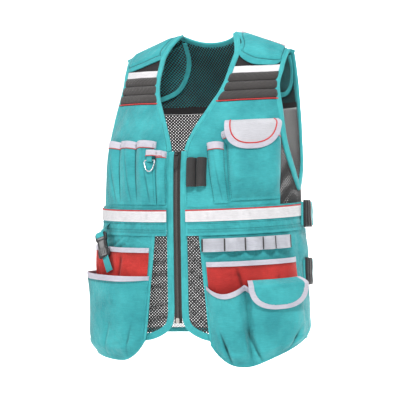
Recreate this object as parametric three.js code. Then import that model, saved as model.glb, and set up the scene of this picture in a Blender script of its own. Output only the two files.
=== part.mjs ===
// A zip-front utility work vest in its worn form, held up at the shoulders.
// Millimetres, +Z up. The front faces -Y and the wearer's left is +X.
// The origin lies midway between the two neck points, on the ridge of the shoulders.
// A place on the cloth is (across, height): millimetres around the body from the zip, and +Z height.
import * as THREE from 'three';

// Body form
const chestWidth = 404;
const chestDepth = 268;
const bodyLength = 611;
const ridgeSetback = 40;
const neckHalfWidth = 58;
const neckBackDrop = 14;
const shoulderSlope = 0.37;
const shoulderDrop = 250;
const armholeDepth = 322;
const neckDepth = 248;
const sideRise = 12;
const hemCutWidth = 62;
const hemCutRise = 34;

// Cloth, edges and clearances
const clothWall = 1.5;
const webbingWall = 1.4;
const layerGap = 0.8;
const seamGap = 0.4;
const ridgeGap = 0.35;
const bindingWidth = 8;
const neckBindingWidth = 6;
const bindingWall = 3.6;
const frontBindingWidth = 11.6;

// Zip
const zipHalfWidth = 7;
const chainHalfWidth = 2.6;
const chainWall = 2.4;
const sliderWidth = 6;
const sliderHeight = 13;
const sliderBody = 3.6;
const sliderWall = 1.2;
const pullLength = 30;
const pullWidth = 10;
const pullWall = 1.6;
const pullBar = 2;
const pinClearance = 0.5;
const pullSideGap = 0.5;

// Shoulder layers, measured down from the neck points
const stripeTop = 81;
const ribsTop = 95;
const ribsFoot = 149;
const ribCount = 3;
const ribDepth = 4.2;
const pipingHeight = 4;
const pipingWall = 2.6;
const shoulderTilt = 0.05;
const stripeWall = 0.8;
const padWall = 6;
const tongueReach = 84;
const tongueInset = 8;
const yokeFoot = 154;

// Waist belt
const beltTop = 357;
const beltHeight = 50;
const beltStripeHeight = 23;
const beltStripeInset = 3.5;
const panelWidth = 205;

// Chest pieces on the wearer's right
const pensTop = 230;
const pensFoot = 350;
const pensFrom = 47;
const pensTopWidth = 140;
const pensFootFrom = 42;
const pensFootWidth = 132;
const pensDepth = 10;
const pensBand = 13;
const smallTop = 250;
const smallFoot = 350;
const smallFrom = 22;
const smallWidth = 23;
const smallFootWidth = 18;
const smallDepth = 8;
const smallBand = 11;
const ringWire = 3;
const ringWidth = 26;
const ringDrop = 22;
const ringAcross = 52;
const ringBarHeight = -266;
const tabWidth = 12;
const tabWall = 1.6;
const tabReach = 20;
const tabLift = 6.4;

// Chest pieces on the wearer's left
const loopsTop = 263;
const loopsFoot = 317;
const loopsFrom = 21;
const loopsWidth = 40;
const loopsDepth = 9;
const narrowTop = 236;
const narrowFoot = 350;
const narrowFrom = 59;
const narrowWidth = 32;
const narrowFootShift = 17;
const narrowFootWidth = 27;
const narrowDepth = 10;
const narrowBand = 13;
const chestTop = 216;
const chestFoot = 346;
const chestFrom = 95;
const chestPocketWidth = 109;
const chestFootInset = 12;
const chestPocketDepth = 19;
const flapTop = 192;
const flapDrop = 60;
const flapWidth = 113;
const flapLead = 5;

// Pouches below the belt
const pouchInnerTop = 46;
const pouchInnerFoot = 64;
const pouchWrap = 46;
const pouchFootLeft = 657;
const pouchFootRight = 650;
const pouchCorner = 52;
const pouchOuterRiseLeft = 46;
const pouchOuterRiseRight = 12;
const pouchBulge = 5;
const pouchBulgeShare = 0.25;
const pouchHang = 6;
const pouchCornerRise = 40;
const pouchCornerFlat = 20;
const pouchOuterSpan = 110;
const pouchInset = 9;
const lowerMargin = 4.5;
const lowerSag = 15;
const pleatDepth = 0.45;
const pleatSpread = 0.035;
const pouchBandHeight = 12;
const redTopLeft = 460;
const redTopRight = 433;
const redPocketHeight = 104;
const redDepth = 12;
const lowerTopLeft = 505;
const lowerTopRight = 487;
const lowerDepth = 30;
const pouchWidth = 176;
const pleatShare = 0.37;
const pouchFlapTop = 497;
const pouchFlapDrop = 56;
const pouchFlapWidth = 96;
const elasticTop = 416;
const elasticHeight = 25;
const elasticCount = 5;
const elasticDepth = 8;

// Straps and buckles
const sideStrapHeight = 46;
const sideStrapLift = 12;
const sideStrapFrom = -8;
const sideStrapLength = 78;
const sideBuckleFrom = 36;
const sideBuckleWidth = 22;
const sideBuckleWall = 3.4;
const sideBuckleMargin = 3;
const upperStrapHeight = -368;
const lowerStrapHeight = -480;
const buckleWidth = 27;
const buckleLength = 50;
const buckleWall = 9;
const buckleAcross = 158;
const buckleHeight = -427;
const buckleNotch = 3;
const buckleStandOff = 20.3;
const buckleLean = 0.34;
const strapWidth = 20;
const strapReach = 18;
const tailReach = 28;
const tailDrop = 3;

// Down the body: widths and depths as shares of the chest sizes, heights as shares of bodyLength
// The last two columns are how boxy the girth is: 2 is an ellipse, more is squarer
const bodyRows = [
  { down: 0, width: 0.95, front: 0.9, back: 0.92, frontBox: 3.2, backBox: 3.2 },
  { down: 0.12, width: 0.955, front: 0.91, back: 0.94, frontBox: 2.5, backBox: 3.15 },
  { down: 0.25, width: 0.96, front: 0.92, back: 0.95, frontBox: 2.25, backBox: 3 },
  { down: 0.41, width: 0.98, front: 0.97, back: 0.97, frontBox: 2.25, backBox: 2.6 },
  { down: 0.54, width: 0.99, front: 1, back: 0.98, frontBox: 2.25, backBox: 2.25 },
  { down: 0.65, width: 1, front: 1, back: 1, frontBox: 2.25, backBox: 2.25 },
  { down: 0.97, width: 1.03, front: 0.97, back: 1.04, frontBox: 2.25, backBox: 2.25 },
  { down: 1.12, width: 1.04, front: 0.96, back: 1.05, frontBox: 2.25, backBox: 2.25 },
];
const waistBox = 2.25;

// From the ridge down: how much of the way out to the chest or the back is reached
const frontRows = [
  { down: 0, out: 0 },
  { down: 0.012, out: 0.06 },
  { down: 0.05, out: 0.145 },
  { down: 0.12, out: 0.26 },
  { down: 0.22, out: 0.385 },
  { down: 0.38, out: 0.565 },
  { down: 0.6, out: 0.76 },
  { down: 0.8, out: 0.905 },
  { down: 0.95, out: 0.97 },
  { down: 1.1, out: 1 },
  { down: 1.3, out: 1 },
];
const backRows = [
  { down: 0, out: 0 },
  { down: 0.012, out: 0.1 },
  { down: 0.05, out: 0.25 },
  { down: 0.12, out: 0.42 },
  { down: 0.25, out: 0.66 },
  { down: 0.5, out: 0.87 },
  { down: 0.75, out: 0.965 },
  { down: 1, out: 1 },
  { down: 1.2, out: 1 },
];

// The cloth's edge at the armhole: down as shares of armholeDepth, across as shares of the quarter girth
const armholeRows = [
  { down: 0.14, across: 0.665 },
  { down: 0.2, across: 0.67 },
  { down: 0.27, across: 0.66 },
  { down: 0.36, across: 0.665 },
  { down: 0.46, across: 0.695 },
  { down: 0.56, across: 0.735 },
  { down: 0.67, across: 0.768 },
  { down: 0.78, across: 0.816 },
  { down: 0.876, across: 0.879 },
  { down: 0.95, across: 0.945 },
  { down: 1, across: 1 },
];
const backArmholeRows = [
  { down: 0.14, across: 0.665 },
  { down: 0.25, across: 0.665 },
  { down: 0.4, across: 0.68 },
  { down: 0.6, across: 0.735 },
  { down: 0.8, across: 0.83 },
  { down: 0.93, across: 0.925 },
  { down: 1, across: 1 },
];

// The cloth's edge at the neck: down as shares of neckDepth, out from the placket as shares of neckHalfWidth
const neckRows = [
  { down: 0, out: 0.77 },
  { down: 0.1, out: 1 },
  { down: 0.18, out: 1.09 },
  { down: 0.27, out: 1.06 },
  { down: 0.36, out: 1.04 },
  { down: 0.44, out: 1.007 },
  { down: 0.54, out: 0.903 },
  { down: 0.65, out: 0.653 },
  { down: 0.81, out: 0.29 },
  { down: 0.93, out: 0.076 },
  { down: 1, out: 0 },
];

// Lower edge of the pad flaps: how far it rises, as shares of stripeTop, on each side of the body
const padFootRows = [
  { across: 0, left: 0.42, right: 0.34 },
  { across: 0.12, left: 0.22, right: 0.27 },
  { across: 0.35, left: 0.05, right: 0.17 },
  { across: 0.6, left: 0.01, right: 0.08 },
  { across: 0.88, left: 0.01, right: 0.01 },
  { across: 1, left: 0.14, right: 0.03 },
];

// Outlines of the hanging flaps: half width as a share, from the free edge up
const flapRows = [
  { up: 0, half: 0.3 },
  { up: 0.1, half: 0.6 },
  { up: 0.3, half: 0.84 },
  { up: 0.6, half: 0.96 },
  { up: 1, half: 1 },
];

const LEFT = 1;
const RIGHT = -1;
const sides = [
  { name: 'left', sign: LEFT },
  { name: 'right', sign: RIGHT },
];

// Heights of the layers above the body's cloth
const panelSeat = layerGap;
const panelTop = panelSeat + clothWall;
const beltSeat = panelTop + layerGap;
const beltTopFace = beltSeat + clothWall;
const trimSeat = beltTopFace + layerGap;
const placketEdge = zipHalfWidth + seamGap + frontBindingWidth + seamGap;

const teal = { color: 0x45b5bc, roughness: 0.82, metalness: 0 };
const meshCloth = { color: 0x3a3c3e, roughness: 0.9, metalness: 0 };
const blackCloth = { color: 0x26272a, roughness: 0.85, metalness: 0 };
const reflective = { color: 0xe9e6ea, roughness: 0.45, metalness: 0.1 };
const greyCloth = { color: 0xd6d3dc, roughness: 0.8, metalness: 0 };
const redCloth = { color: 0xcf3a33, roughness: 0.8, metalness: 0 };
const blackPlastic = { color: 0x222426, roughness: 0.45, metalness: 0 };
const zipGrey = { color: 0x55514f, roughness: 0.6, metalness: 0 };
const steel = { color: 0xc9ccd0, roughness: 0.25, metalness: 1 };

const vest = new THREE.Group();

function addPiece(name, geometry, finish) {
  const mesh = new THREE.Mesh(geometry, new THREE.MeshStandardMaterial(finish));
  mesh.name = name;
  vest.add(mesh);
  return mesh;
}

function mix(from, to, share) {
  return from + (to - from) * share;
}

// Smooth curve through the rows of a table, flat beyond its ends
function lookUp(rows, key, value, at) {
  const last = rows.length - 1;
  if (at <= rows[0][key]) {
    return rows[0][value];
  }
  if (at >= rows[last][key]) {
    return rows[last][value];
  }
  let i = 0;
  while (at > rows[i + 1][key]) {
    i += 1;
  }
  const slope = (k) => {
    const a = rows[Math.max(k - 1, 0)];
    const b = rows[Math.min(k + 1, last)];
    return (b[value] - a[value]) / (b[key] - a[key]);
  };
  const span = rows[i + 1][key] - rows[i][key];
  const u = (at - rows[i][key]) / span;
  const rise = u * u * (3 - 2 * u);
  const bend = u * (1 - u) * ((1 - u) * slope(i) - u * slope(i + 1)) * span;
  return mix(rows[i][value], rows[i + 1][value], rise) + bend;
}

// The girth is a rounded oval. It is measured once at the waist, so that `across` is a length of cloth.
function ovalPoint(halfWidth, halfDepth, boxiness, angle) {
  const side = Math.sin(angle);
  const front = Math.cos(angle);
  const reach = (Math.abs(side) ** boxiness + Math.abs(front) ** boxiness) ** (-1 / boxiness);
  return { x: halfWidth * reach * side, out: halfDepth * reach * front };
}

const girthSteps = 90;
const girthTable = [{ length: 0, angle: 0 }];
for (let i = 1; i <= girthSteps; i += 1) {
  const angle = (i / girthSteps) * (Math.PI / 2);
  const a = ovalPoint(chestWidth / 2, chestDepth / 2, waistBox, girthTable[i - 1].angle);
  const b = ovalPoint(chestWidth / 2, chestDepth / 2, waistBox, angle);
  girthTable.push({ length: girthTable[i - 1].length + Math.hypot(b.x - a.x, b.out - a.out), angle });
}
const quarterGirth = girthTable[girthSteps].length;

function girthAngle(across) {
  const quarter = Math.floor(across / quarterGirth);
  const rest = across - quarter * quarterGirth;
  const evenQuarter = quarter % 2 === 0;
  const part = lookUp(girthTable, 'length', 'angle', evenQuarter ? rest : quarterGirth - rest);
  return quarter * (Math.PI / 2) + (evenQuarter ? part : Math.PI / 2 - part);
}

// Height of the shoulder ridge at a distance from the middle plane
function ridgeHeight(x) {
  return -shoulderSlope * Math.max(0, Math.abs(x) - neckHalfWidth);
}

function ridgeAt(across) {
  const { width, frontBox } = bodyRows[0];
  return ridgeHeight(ovalPoint((chestWidth / 2) * width, 1, frontBox, girthAngle(across)).x);
}

// The body's cloth itself, before any layer
function clothPoint(across, height) {
  const angle = girthAngle(across);
  const isFront = Math.cos(angle) >= 0;
  const down = -height / bodyLength;
  const halfWidth = (chestWidth / 2) * lookUp(bodyRows, 'down', 'width', down);
  const halfDepth = (chestDepth / 2) * lookUp(bodyRows, 'down', isFront ? 'front' : 'back', down);
  const boxiness = lookUp(bodyRows, 'down', isFront ? 'frontBox' : 'backBox', down);
  const { x, out } = ovalPoint(halfWidth, halfDepth, boxiness, angle);
  const z = Math.min(height, ridgeHeight(x));
  const drop = (ridgeHeight(x) - z) / shoulderDrop;
  const reach = lookUp(isFront ? frontRows : backRows, 'down', 'out', drop);
  return new THREE.Vector3(x, -(out + ridgeSetback) * reach, z);
}

// The cloth's own directions at a place: along the girth, up the cloth, and out of it
function clothFrame(across, height) {
  const step = 0.5;
  const along = clothPoint(across + step, height).sub(clothPoint(across - step, height)).normalize();
  const rise = clothPoint(across, height + step).sub(clothPoint(across, height - step));
  const out = new THREE.Vector3().crossVectors(along, rise).normalize();
  return { along, up: new THREE.Vector3().crossVectors(out, along), out };
}

function spot(across, height, lift) {
  return clothPoint(across, height).addScaledVector(clothFrame(across, height).out, lift);
}

// `across` of a place on the back, counted from the middle of the back towards the wearer's left
function onBack(fromMiddle) {
  return 2 * quarterGirth - fromMiddle;
}

// Level lines on the front climb a little towards the side seams
function levelHeight(across, down) {
  return -down + sideRise * Math.min(1, Math.abs(across) / quarterGirth) ** 2;
}

function closedGeometry(points, triangles) {
  let volume = 0;
  for (let t = 0; t < triangles.length; t += 3) {
    const [a, b, c] = [points[triangles[t]], points[triangles[t + 1]], points[triangles[t + 2]]];
    volume += a.dot(new THREE.Vector3().crossVectors(b, c));
  }
  const facing = volume > 0 ? triangles : triangles.slice().reverse();
  const geometry = new THREE.BufferGeometry().setFromPoints(points);
  geometry.setIndex(facing);
  geometry.computeVertexNormals();
  return geometry;
}

// A sheet of cloth: place(u, v) gives { across, height, low, high }, with low and high its two faces
function sheetGeometry(uSteps, vSteps, place) {
  const uShares = typeof uSteps === 'number' ? evenShares(uSteps) : uSteps;
  const vShares = typeof vSteps === 'number' ? evenShares(vSteps) : vSteps;
  const columns = uShares.length;
  const rows = vShares.length;
  const points = [];
  for (const face of ['low', 'high']) {
    for (const v of vShares) {
      for (const u of uShares) {
        const at = place(u, v);
        points.push(spot(at.across, at.height, at[face]));
      }
    }
  }
  const index = (face, i, j) => face * columns * rows + j * columns + i;
  const triangles = [];
  const quad = (a, b, c, d) => triangles.push(a, b, c, a, c, d);
  for (let j = 0; j < rows - 1; j += 1) {
    for (let i = 0; i < columns - 1; i += 1) {
      quad(index(1, i, j), index(1, i + 1, j), index(1, i + 1, j + 1), index(1, i, j + 1));
      quad(index(0, i, j), index(0, i, j + 1), index(0, i + 1, j + 1), index(0, i + 1, j));
    }
  }
  for (let i = 0; i < columns - 1; i += 1) {
    quad(index(0, i, 0), index(0, i + 1, 0), index(1, i + 1, 0), index(1, i, 0));
    quad(index(0, i + 1, rows - 1), index(0, i, rows - 1), index(1, i, rows - 1), index(1, i + 1, rows - 1));
  }
  for (let j = 0; j < rows - 1; j += 1) {
    quad(index(0, 0, j + 1), index(0, 0, j), index(1, 0, j), index(1, 0, j + 1));
    quad(index(0, columns - 1, j), index(0, columns - 1, j + 1), index(1, columns - 1, j + 1),
      index(1, columns - 1, j));
  }
  return closedGeometry(points, triangles);
}

function evenShares(steps) {
  return Array.from({ length: steps + 1 }, (unused, i) => i / steps);
}

// A bar along rings of equal corner count, closed on itself or capped at both ends
function ringGeometry(rings, isLoop) {
  const corners = rings[0].length;
  const points = rings.flat();
  const triangles = [];
  const spans = isLoop ? rings.length : rings.length - 1;
  for (let r = 0; r < spans; r += 1) {
    const next = (r + 1) % rings.length;
    for (let c = 0; c < corners; c += 1) {
      const d = (c + 1) % corners;
      const [a, b] = [r * corners + c, r * corners + d];
      const [e, f] = [next * corners + c, next * corners + d];
      triangles.push(a, b, f, a, f, e);
    }
  }
  if (!isLoop) {
    const end = (rings.length - 1) * corners;
    for (let c = 1; c < corners - 1; c += 1) {
      triangles.push(0, c + 1, c, end, end + c, end + c + 1);
    }
  }
  return closedGeometry(points, triangles);
}

// Rings of an edge binding that runs along a path of places, on the side that `turn` points to
function bindingRings(path, turn, width) {
  return path.map((at, i) => {
    const before = path[Math.max(i - 1, 0)];
    const after = path[Math.min(i + 1, path.length - 1)];
    const run = new THREE.Vector2(after.across - before.across, after.height - before.height).normalize();
    const aside = new THREE.Vector2(run.y, -run.x).multiplyScalar(turn);
    const corner = (outside, lift) =>
      spot(at.across + aside.x * outside, at.height + aside.y * outside, lift);
    const middle = -clothWall / 2;
    const half = bindingWall / 2;
    const far = seamGap + width;
    return [corner(seamGap, middle - half), corner(far, middle - half), corner(far, middle + half),
      corner(seamGap, middle + half)];
  });
}

// Edges of the cloth
function armholeEdge(height) {
  return quarterGirth * lookUp(armholeRows, 'down', 'across', -height / armholeDepth);
}

function backArmholeEdge(height) {
  return quarterGirth * lookUp(backArmholeRows, 'down', 'across', -height / armholeDepth);
}

function neckEdge(height) {
  return placketEdge + neckHalfWidth * lookUp(neckRows, 'down', 'out', -height / neckDepth);
}

function hemOutline(across) {
  const share = 1 - Math.min(1, Math.max(0, Math.abs(across) - zipHalfWidth) / hemCutWidth);
  return -bodyLength + hemCutRise * share ** 1.8;
}

function hemEdge(across) {
  return hemOutline(across) + frontBindingWidth + seamGap;
}

function shoulderLine(across, down) {
  return -down + shoulderTilt * (Math.abs(across) - neckHalfWidth);
}

// Front body: net cloth from the hem to the ribbed shoulder pieces
const frontMeshTop = ribsFoot + pipingHeight + seamGap;
const meshFoot = -bodyLength + frontBindingWidth + seamGap;
const frontArmShare = (meshFoot + armholeDepth) / (meshFoot + frontMeshTop);
const frontMeshColumns = [0, 0.06, 0.13, 0.21, 0.32, 0.45, 0.58, 0.72, 0.86, 1];
const belowArmRows = [0, 0.4, 0.75];
const besideArmRows = [0, 0.12, 0.3, 0.52, 0.76, 1];

function armRows(armShare) {
  return [
    ...belowArmRows.map((share) => share * armShare),
    ...besideArmRows.map((share) => mix(armShare, 1, share)),
  ];
}

function frontMeshPlace(u, v) {
  const middle = mix(meshFoot, -frontMeshTop, v);
  const across = mix(neckEdge(middle), armholeEdge(middle) - seamGap / 2, u);
  const hemRise = (hemEdge(across) - meshFoot) * Math.max(0, 1 - v / frontArmShare);
  const besideArm = Math.max(0, (v - frontArmShare) / (1 - frontArmShare));
  const height = middle + hemRise + (shoulderLine(across, 0)) * besideArm;
  return { across, height, low: -clothWall, high: 0 };
}

// Teal cloth over the net, from the belt to the ribbed shoulder pieces
function frontPanelPlace(u, v) {
  const middle = mix(-beltTop, -frontMeshTop, v);
  const outer = Math.min(panelWidth, armholeEdge(middle) - seamGap);
  const across = mix(neckEdge(middle) + seamGap, outer, u);
  const foot = levelHeight(across, beltTop) + seamGap;
  const height = mix(foot, shoulderLine(across, frontMeshTop), v);
  return { across, height, low: panelSeat, high: panelTop };
}

// Rows crowd towards the ridge, where the shoulder curves most
function towardsRidge(v) {
  return 1 - (1 - v) ** 1.8;
}

// Black cloth under the ribs, stripe and pad, up to the shoulder ridge
function shoulderBasePlace(u, v) {
  const foot = frontMeshTop - seamGap;
  const middle = mix(-foot, -ridgeGap, towardsRidge(v));
  const across = mix(neckEdge(middle), armholeEdge(middle), u);
  const top = ridgeAt(across) - ridgeGap;
  const height = mix(shoulderLine(across, foot), top, towardsRidge(v));
  return { across, height, low: v === 1 ? -clothWall / 2 : -clothWall, high: 0 };
}

// A band of a shoulder layer between two levels
function shoulderBandPlace(top, foot, highAt) {
  return (u, v) => {
    const down = mix(foot, top, v);
    const across = mix(neckEdge(-down) + seamGap, armholeEdge(-down) - 5 * seamGap, u);
    return { across, height: shoulderLine(across, down), low: panelSeat, high: highAt(v) };
  };
}

// The red piping is the foot of the ribbed piece; above it the ribs rise and fall
const pipingShare = pipingHeight / (ribsFoot + pipingHeight - ribsTop);
const pipingStep = 0.002;
const rowsPerRib = 3;

function ribHeight(v) {
  if (v <= pipingShare) {
    return panelSeat + pipingWall;
  }
  const turn = ((v - pipingShare) / (1 - pipingShare)) * ribCount;
  return panelSeat + clothWall + ribDepth * Math.abs(Math.sin(turn * Math.PI)) ** 0.7;
}

const ribRows = [0, pipingShare];
for (let i = 0; i <= ribCount * rowsPerRib; i += 1) {
  ribRows.push(mix(pipingShare + pipingStep, 1, i / (ribCount * rowsPerRib)));
}

// Shoulder pads: a flap outside the front, and a tongue inside the back
function padEdge(u, v) {
  return Math.min(1, 4 * Math.min(u, 1 - u) + 0.35) * Math.min(1, 0.5 + 2 * v);
}

function padPlace(footRise) {
  return (u, v) => {
    const middle = mix(-stripeTop, -ridgeGap, towardsRidge(v));
    const across = mix(neckEdge(middle) + seamGap, armholeEdge(middle) - seamGap, u);
    const rise = stripeTop * lookUp(padFootRows, 'across', footRise, u);
    const foot = shoulderLine(across, stripeTop) + seamGap + rise;
    const height = mix(foot, ridgeAt(across) - ridgeGap, towardsRidge(v));
    const low = panelSeat + layerGap;
    return { across, height, low, high: low + padWall * padEdge(u, v) };
  };
}

function tonguePlace(u, v) {
  const outer = backArmholeEdge(mix(-tongueReach, 0, v) - ridgeSetback) - tongueInset;
  const across = mix(neckHalfWidth + tongueInset, outer, u);
  const top = ridgeAt(across) - ridgeGap - neckBackDrop / 2;
  const corner = 0.3 * tongueReach * Math.abs(2 * u - 1) ** 4;
  const high = -clothWall - 2 * layerGap;
  return { across: onBack(across), height: mix(top - tongueReach + corner, top, towardsRidge(v)),
    low: high - padWall * padEdge(u, v), high };
}

// Back: net cloth below, a teal yoke above it
const backMeshFoot = -bodyLength + bindingWidth + seamGap;
const backMeshTop = -yokeFoot - seamGap / 2;
const backArmShare = (-armholeDepth - backMeshFoot) / (backMeshTop - backMeshFoot);
const backMeshColumns = 18;
const yokeRows = 6;

function backMeshPlace(u, v) {
  const height = mix(backMeshFoot, backMeshTop, v);
  const half = backArmholeEdge(height) - seamGap / 2;
  return { across: onBack(mix(half, -half, u)), height, low: -clothWall, high: 0 };
}

// The neck edge crosses the ridge at neckCross, drops off it at once and runs round the back of the neck
const neckCross = neckEdge(-ridgeGap);
const neckTurn = 2;
const neckShares = [0, 0.24, 0.48, 0.72, 0.9, 1];
const yokeShares = [0.2, 0.38, 0.54, 0.68, 0.8, 0.9, 1];

function backNeckHeight(fromMiddle) {
  const inner = neckCross - neckTurn;
  if (fromMiddle > inner + neckTurn / 2) {
    return 0;
  }
  return -neckBackDrop * (1 - (fromMiddle / inner) ** 2.2) - neckBindingWidth - 2 * seamGap;
}

function yokePlace(u, v) {
  const half = backArmholeEdge(mix(-yokeFoot, -ridgeGap, towardsRidge(v)));
  const fromMiddle = mix(half, -half, u);
  const edge = Math.min(ridgeAt(fromMiddle), backNeckHeight(Math.abs(fromMiddle))) - ridgeGap;
  const height = mix(-yokeFoot + seamGap / 2, edge, towardsRidge(v));
  return { across: onBack(fromMiddle), height, low: v === 1 ? -clothWall / 2 : -clothWall, high: 0 };
}

const yokeTip = backArmholeEdge(-ridgeGap);
const halfColumns = [
  ...neckShares.map((share) => (share * (neckCross - neckTurn)) / yokeTip),
  neckCross / yokeTip,
  ...yokeShares.map((share) => mix(neckCross / yokeTip, 1, share)),
];
const yokeColumns = [
  ...halfColumns.slice(1).reverse().map((share) => (1 - share) / 2),
  ...halfColumns.map((share) => (1 + share) / 2),
];

// A place function for the wearer's right, from the one for the wearer's left
function mirrored(sign, place) {
  return (u, v) => {
    const at = place(u, v);
    return { ...at, across: sign * at.across };
  };
}

for (const { name, sign } of sides) {
  const add = (piece, columns, rows, place, finish) =>
    addPiece(`${piece}_${name}`, sheetGeometry(columns, rows, mirrored(sign, place)), finish);
  const stripeHigh = () => panelSeat + stripeWall;
  const stripePlace = shoulderBandPlace(stripeTop, ribsTop - seamGap, stripeHigh);
  const ribsPlace = shoulderBandPlace(ribsTop, ribsFoot + pipingHeight, ribHeight);
  add('front_mesh', frontMeshColumns, armRows(frontArmShare), frontMeshPlace, meshCloth);
  add('front_panel', 10, 9, frontPanelPlace, teal);
  add('shoulder_base', 5, yokeRows, shoulderBasePlace, blackCloth);
  add('shoulder_stripe', 6, 1, stripePlace, reflective);
  add('shoulder_ribs', 5, ribRows, ribsPlace, blackCloth);
  add('shoulder_pad', 6, 6, padPlace(name), teal);
  add('pad_tongue', 6, 6, tonguePlace, blackCloth);
}
addPiece('back_mesh', sheetGeometry(backMeshColumns, armRows(backArmShare), backMeshPlace), meshCloth);
addPiece('back_yoke', sheetGeometry(yokeColumns, yokeRows, yokePlace), teal);

// A binding's ring right on the shoulder ridge, from x outwards or inwards
function ridgeRing(x, toSide, width) {
  const out = new THREE.Vector3(Math.sign(x) * shoulderSlope, 0, 1).normalize();
  const corner = (outside, lift) => {
    const at = x + toSide * outside;
    return new THREE.Vector3(at, 0, ridgeHeight(at)).addScaledVector(out, lift);
  };
  const middle = -clothWall / 2;
  const half = bindingWall / 2;
  const far = seamGap + width;
  return [corner(seamGap, middle - half), corner(far, middle - half), corner(far, middle + half),
    corner(seamGap, middle + half)];
}

// Armhole bindings: down the front edge, under the arm and up the back edge to the ridge
const besideFrontArm = armRows(frontArmShare).slice(belowArmRows.length);
const besideBackArm = armRows(backArmShare).slice(belowArmRows.length);
const shoulderRows = evenShares(yokeRows).slice(1, -1);

for (const { name, sign } of sides) {
  const frontPath = [
    ...shoulderRows.slice().reverse().map((v) => shoulderBasePlace(1, v)),
    ...besideFrontArm.slice(1).reverse().map((v) => frontMeshPlace(1, v)),
  ];
  const backPath = [
    ...besideBackArm.slice(1).map((v) => backMeshPlace(0, v)),
    ...shoulderRows.map((v) => yokePlace(0, v)),
  ];
  const bottom = { across: quarterGirth, height: -armholeDepth };
  const path = [...frontPath, bottom, ...backPath];
  const rings = bindingRings(path.map((at) => ({ ...at, across: sign * at.across })), -sign, bindingWidth);
  const tip = clothPoint(sign * armholeEdge(-ridgeGap), -ridgeGap).x;
  rings.push(ridgeRing(tip + sign * seamGap, sign, bindingWidth));
  addPiece(`armhole_binding_${name}`, ringGeometry(rings, true), teal);
}

// Neck binding: up one front edge, round the back of the neck and down the other front edge
const frontNeckRows = armRows(frontArmShare).filter((v) => mix(meshFoot, -frontMeshTop, v) > -neckDepth);
const neckUp = [
  { across: placketEdge, height: -neckDepth },
  ...frontNeckRows.map((v) => frontMeshPlace(0, v)),
  ...shoulderRows.map((v) => shoulderBasePlace(0, v)),
];
const neckBack = yokeColumns.map((u) => yokePlace(u, 1))
  .filter((at) => Math.abs(at.across - onBack(0)) < neckCross - neckTurn / 2);
const neckPoint = clothPoint(neckCross, -ridgeGap).x;
const leftNeck = bindingRings(neckUp, -1, neckBindingWidth);
const rightNeck = bindingRings(neckUp.map((at) => ({ ...at, across: -at.across })), 1, neckBindingWidth);
const backNeck = bindingRings(neckBack, -1, neckBindingWidth);
addPiece('neck_binding', ringGeometry([
  ...leftNeck,
  ridgeRing(neckPoint, -1, neckBindingWidth),
  ...backNeck,
  ridgeRing(-neckPoint, 1, neckBindingWidth),
  ...rightNeck.reverse(),
], false), teal);

// Front bindings: down beside the zip, round the corner and along the hem
for (const { name, sign } of sides) {
  const hem = frontMeshColumns.map((u) => frontMeshPlace(u, 0));
  const beside = evenShares(5).slice(0, -1).map((share) => ({
    across: hem[0].across,
    height: mix(-neckDepth, hem[0].height, share),
  }));
  const path = [...beside, ...hem].map((at) => ({ ...at, across: sign * at.across }));
  addPiece(`front_binding_${name}`, ringGeometry(bindingRings(path, sign, frontBindingWidth), false), teal);
}
const backHem = evenShares(backMeshColumns).map((u) => backMeshPlace(u, 0));
addPiece('back_hem_binding', ringGeometry(bindingRings(backHem, 1, bindingWidth), false), teal);

// Waist belt and its reflective stripe
const beltFoot = beltTop + beltHeight;
const stripeFrom = beltTop + beltStripeInset;
const beltColumns = 16;

function beltPlace(top, height, low, wall) {
  return (u, v) => {
    const across = mix(placketEdge + seamGap, quarterGirth - seamGap / 2, u);
    return { across, height: levelHeight(across, top + height * (1 - v)), low, high: low + wall };
  };
}

function backBeltPlace(top, height, low, wall) {
  return (u, v) => {
    const half = quarterGirth - seamGap / 2;
    return { across: onBack(mix(half, -half, u)), height: sideRise - top - height * (1 - v), low,
      high: low + wall };
  };
}

for (const { name, sign } of sides) {
  const belt = beltPlace(beltTop, beltHeight, beltSeat, clothWall);
  const stripe = beltPlace(stripeFrom, beltStripeHeight, trimSeat, stripeWall);
  addPiece(`belt_${name}`, sheetGeometry(beltColumns, 1, mirrored(sign, belt)), teal);
  addPiece(`belt_stripe_${name}`, sheetGeometry(beltColumns, 1, mirrored(sign, stripe)), reflective);
}
const backBelt = backBeltPlace(beltTop, beltHeight, beltSeat, clothWall);
const backStripe = backBeltPlace(stripeFrom, beltStripeHeight, trimSeat, stripeWall);
addPiece('belt_back', sheetGeometry(2 * beltColumns, 1, backBelt), teal);
addPiece('belt_stripe_back', sheetGeometry(2 * beltColumns, 1, backStripe), reflective);

// Zip: two tapes, the closed chain, the slider and its pull
const zipFoot = -bodyLength + hemCutRise + seamGap;

function placedOn(mesh, across, height, lift, lean) {
  const { along, up, out } = clothFrame(across, height);
  const basis = new THREE.Matrix4().makeBasis(along, up, out);
  mesh.matrix.copy(new THREE.Matrix4().setPosition(spot(across, height, lift)));
  mesh.matrix.multiply(basis).multiply(new THREE.Matrix4().makeRotationZ(lean));
  mesh.matrix.decompose(mesh.position, mesh.quaternion, mesh.scale);
  return mesh;
}

// A profile drawn in (out, up) and given a width along the girth
function sideExtrude(shape, width) {
  const geometry = new THREE.ExtrudeGeometry(shape, { depth: width, bevelEnabled: false, curveSegments: 6 });
  geometry.translate(0, 0, -width / 2);
  return geometry.rotateY(-Math.PI / 2);
}

// An outline drawn in (along, up) and given a wall outwards, half of it each way
function faceExtrude(shape, wall) {
  const geometry = new THREE.ExtrudeGeometry(shape, { depth: wall, bevelEnabled: false, curveSegments: 6 });
  return geometry.translate(0, 0, -wall / 2);
}

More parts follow.
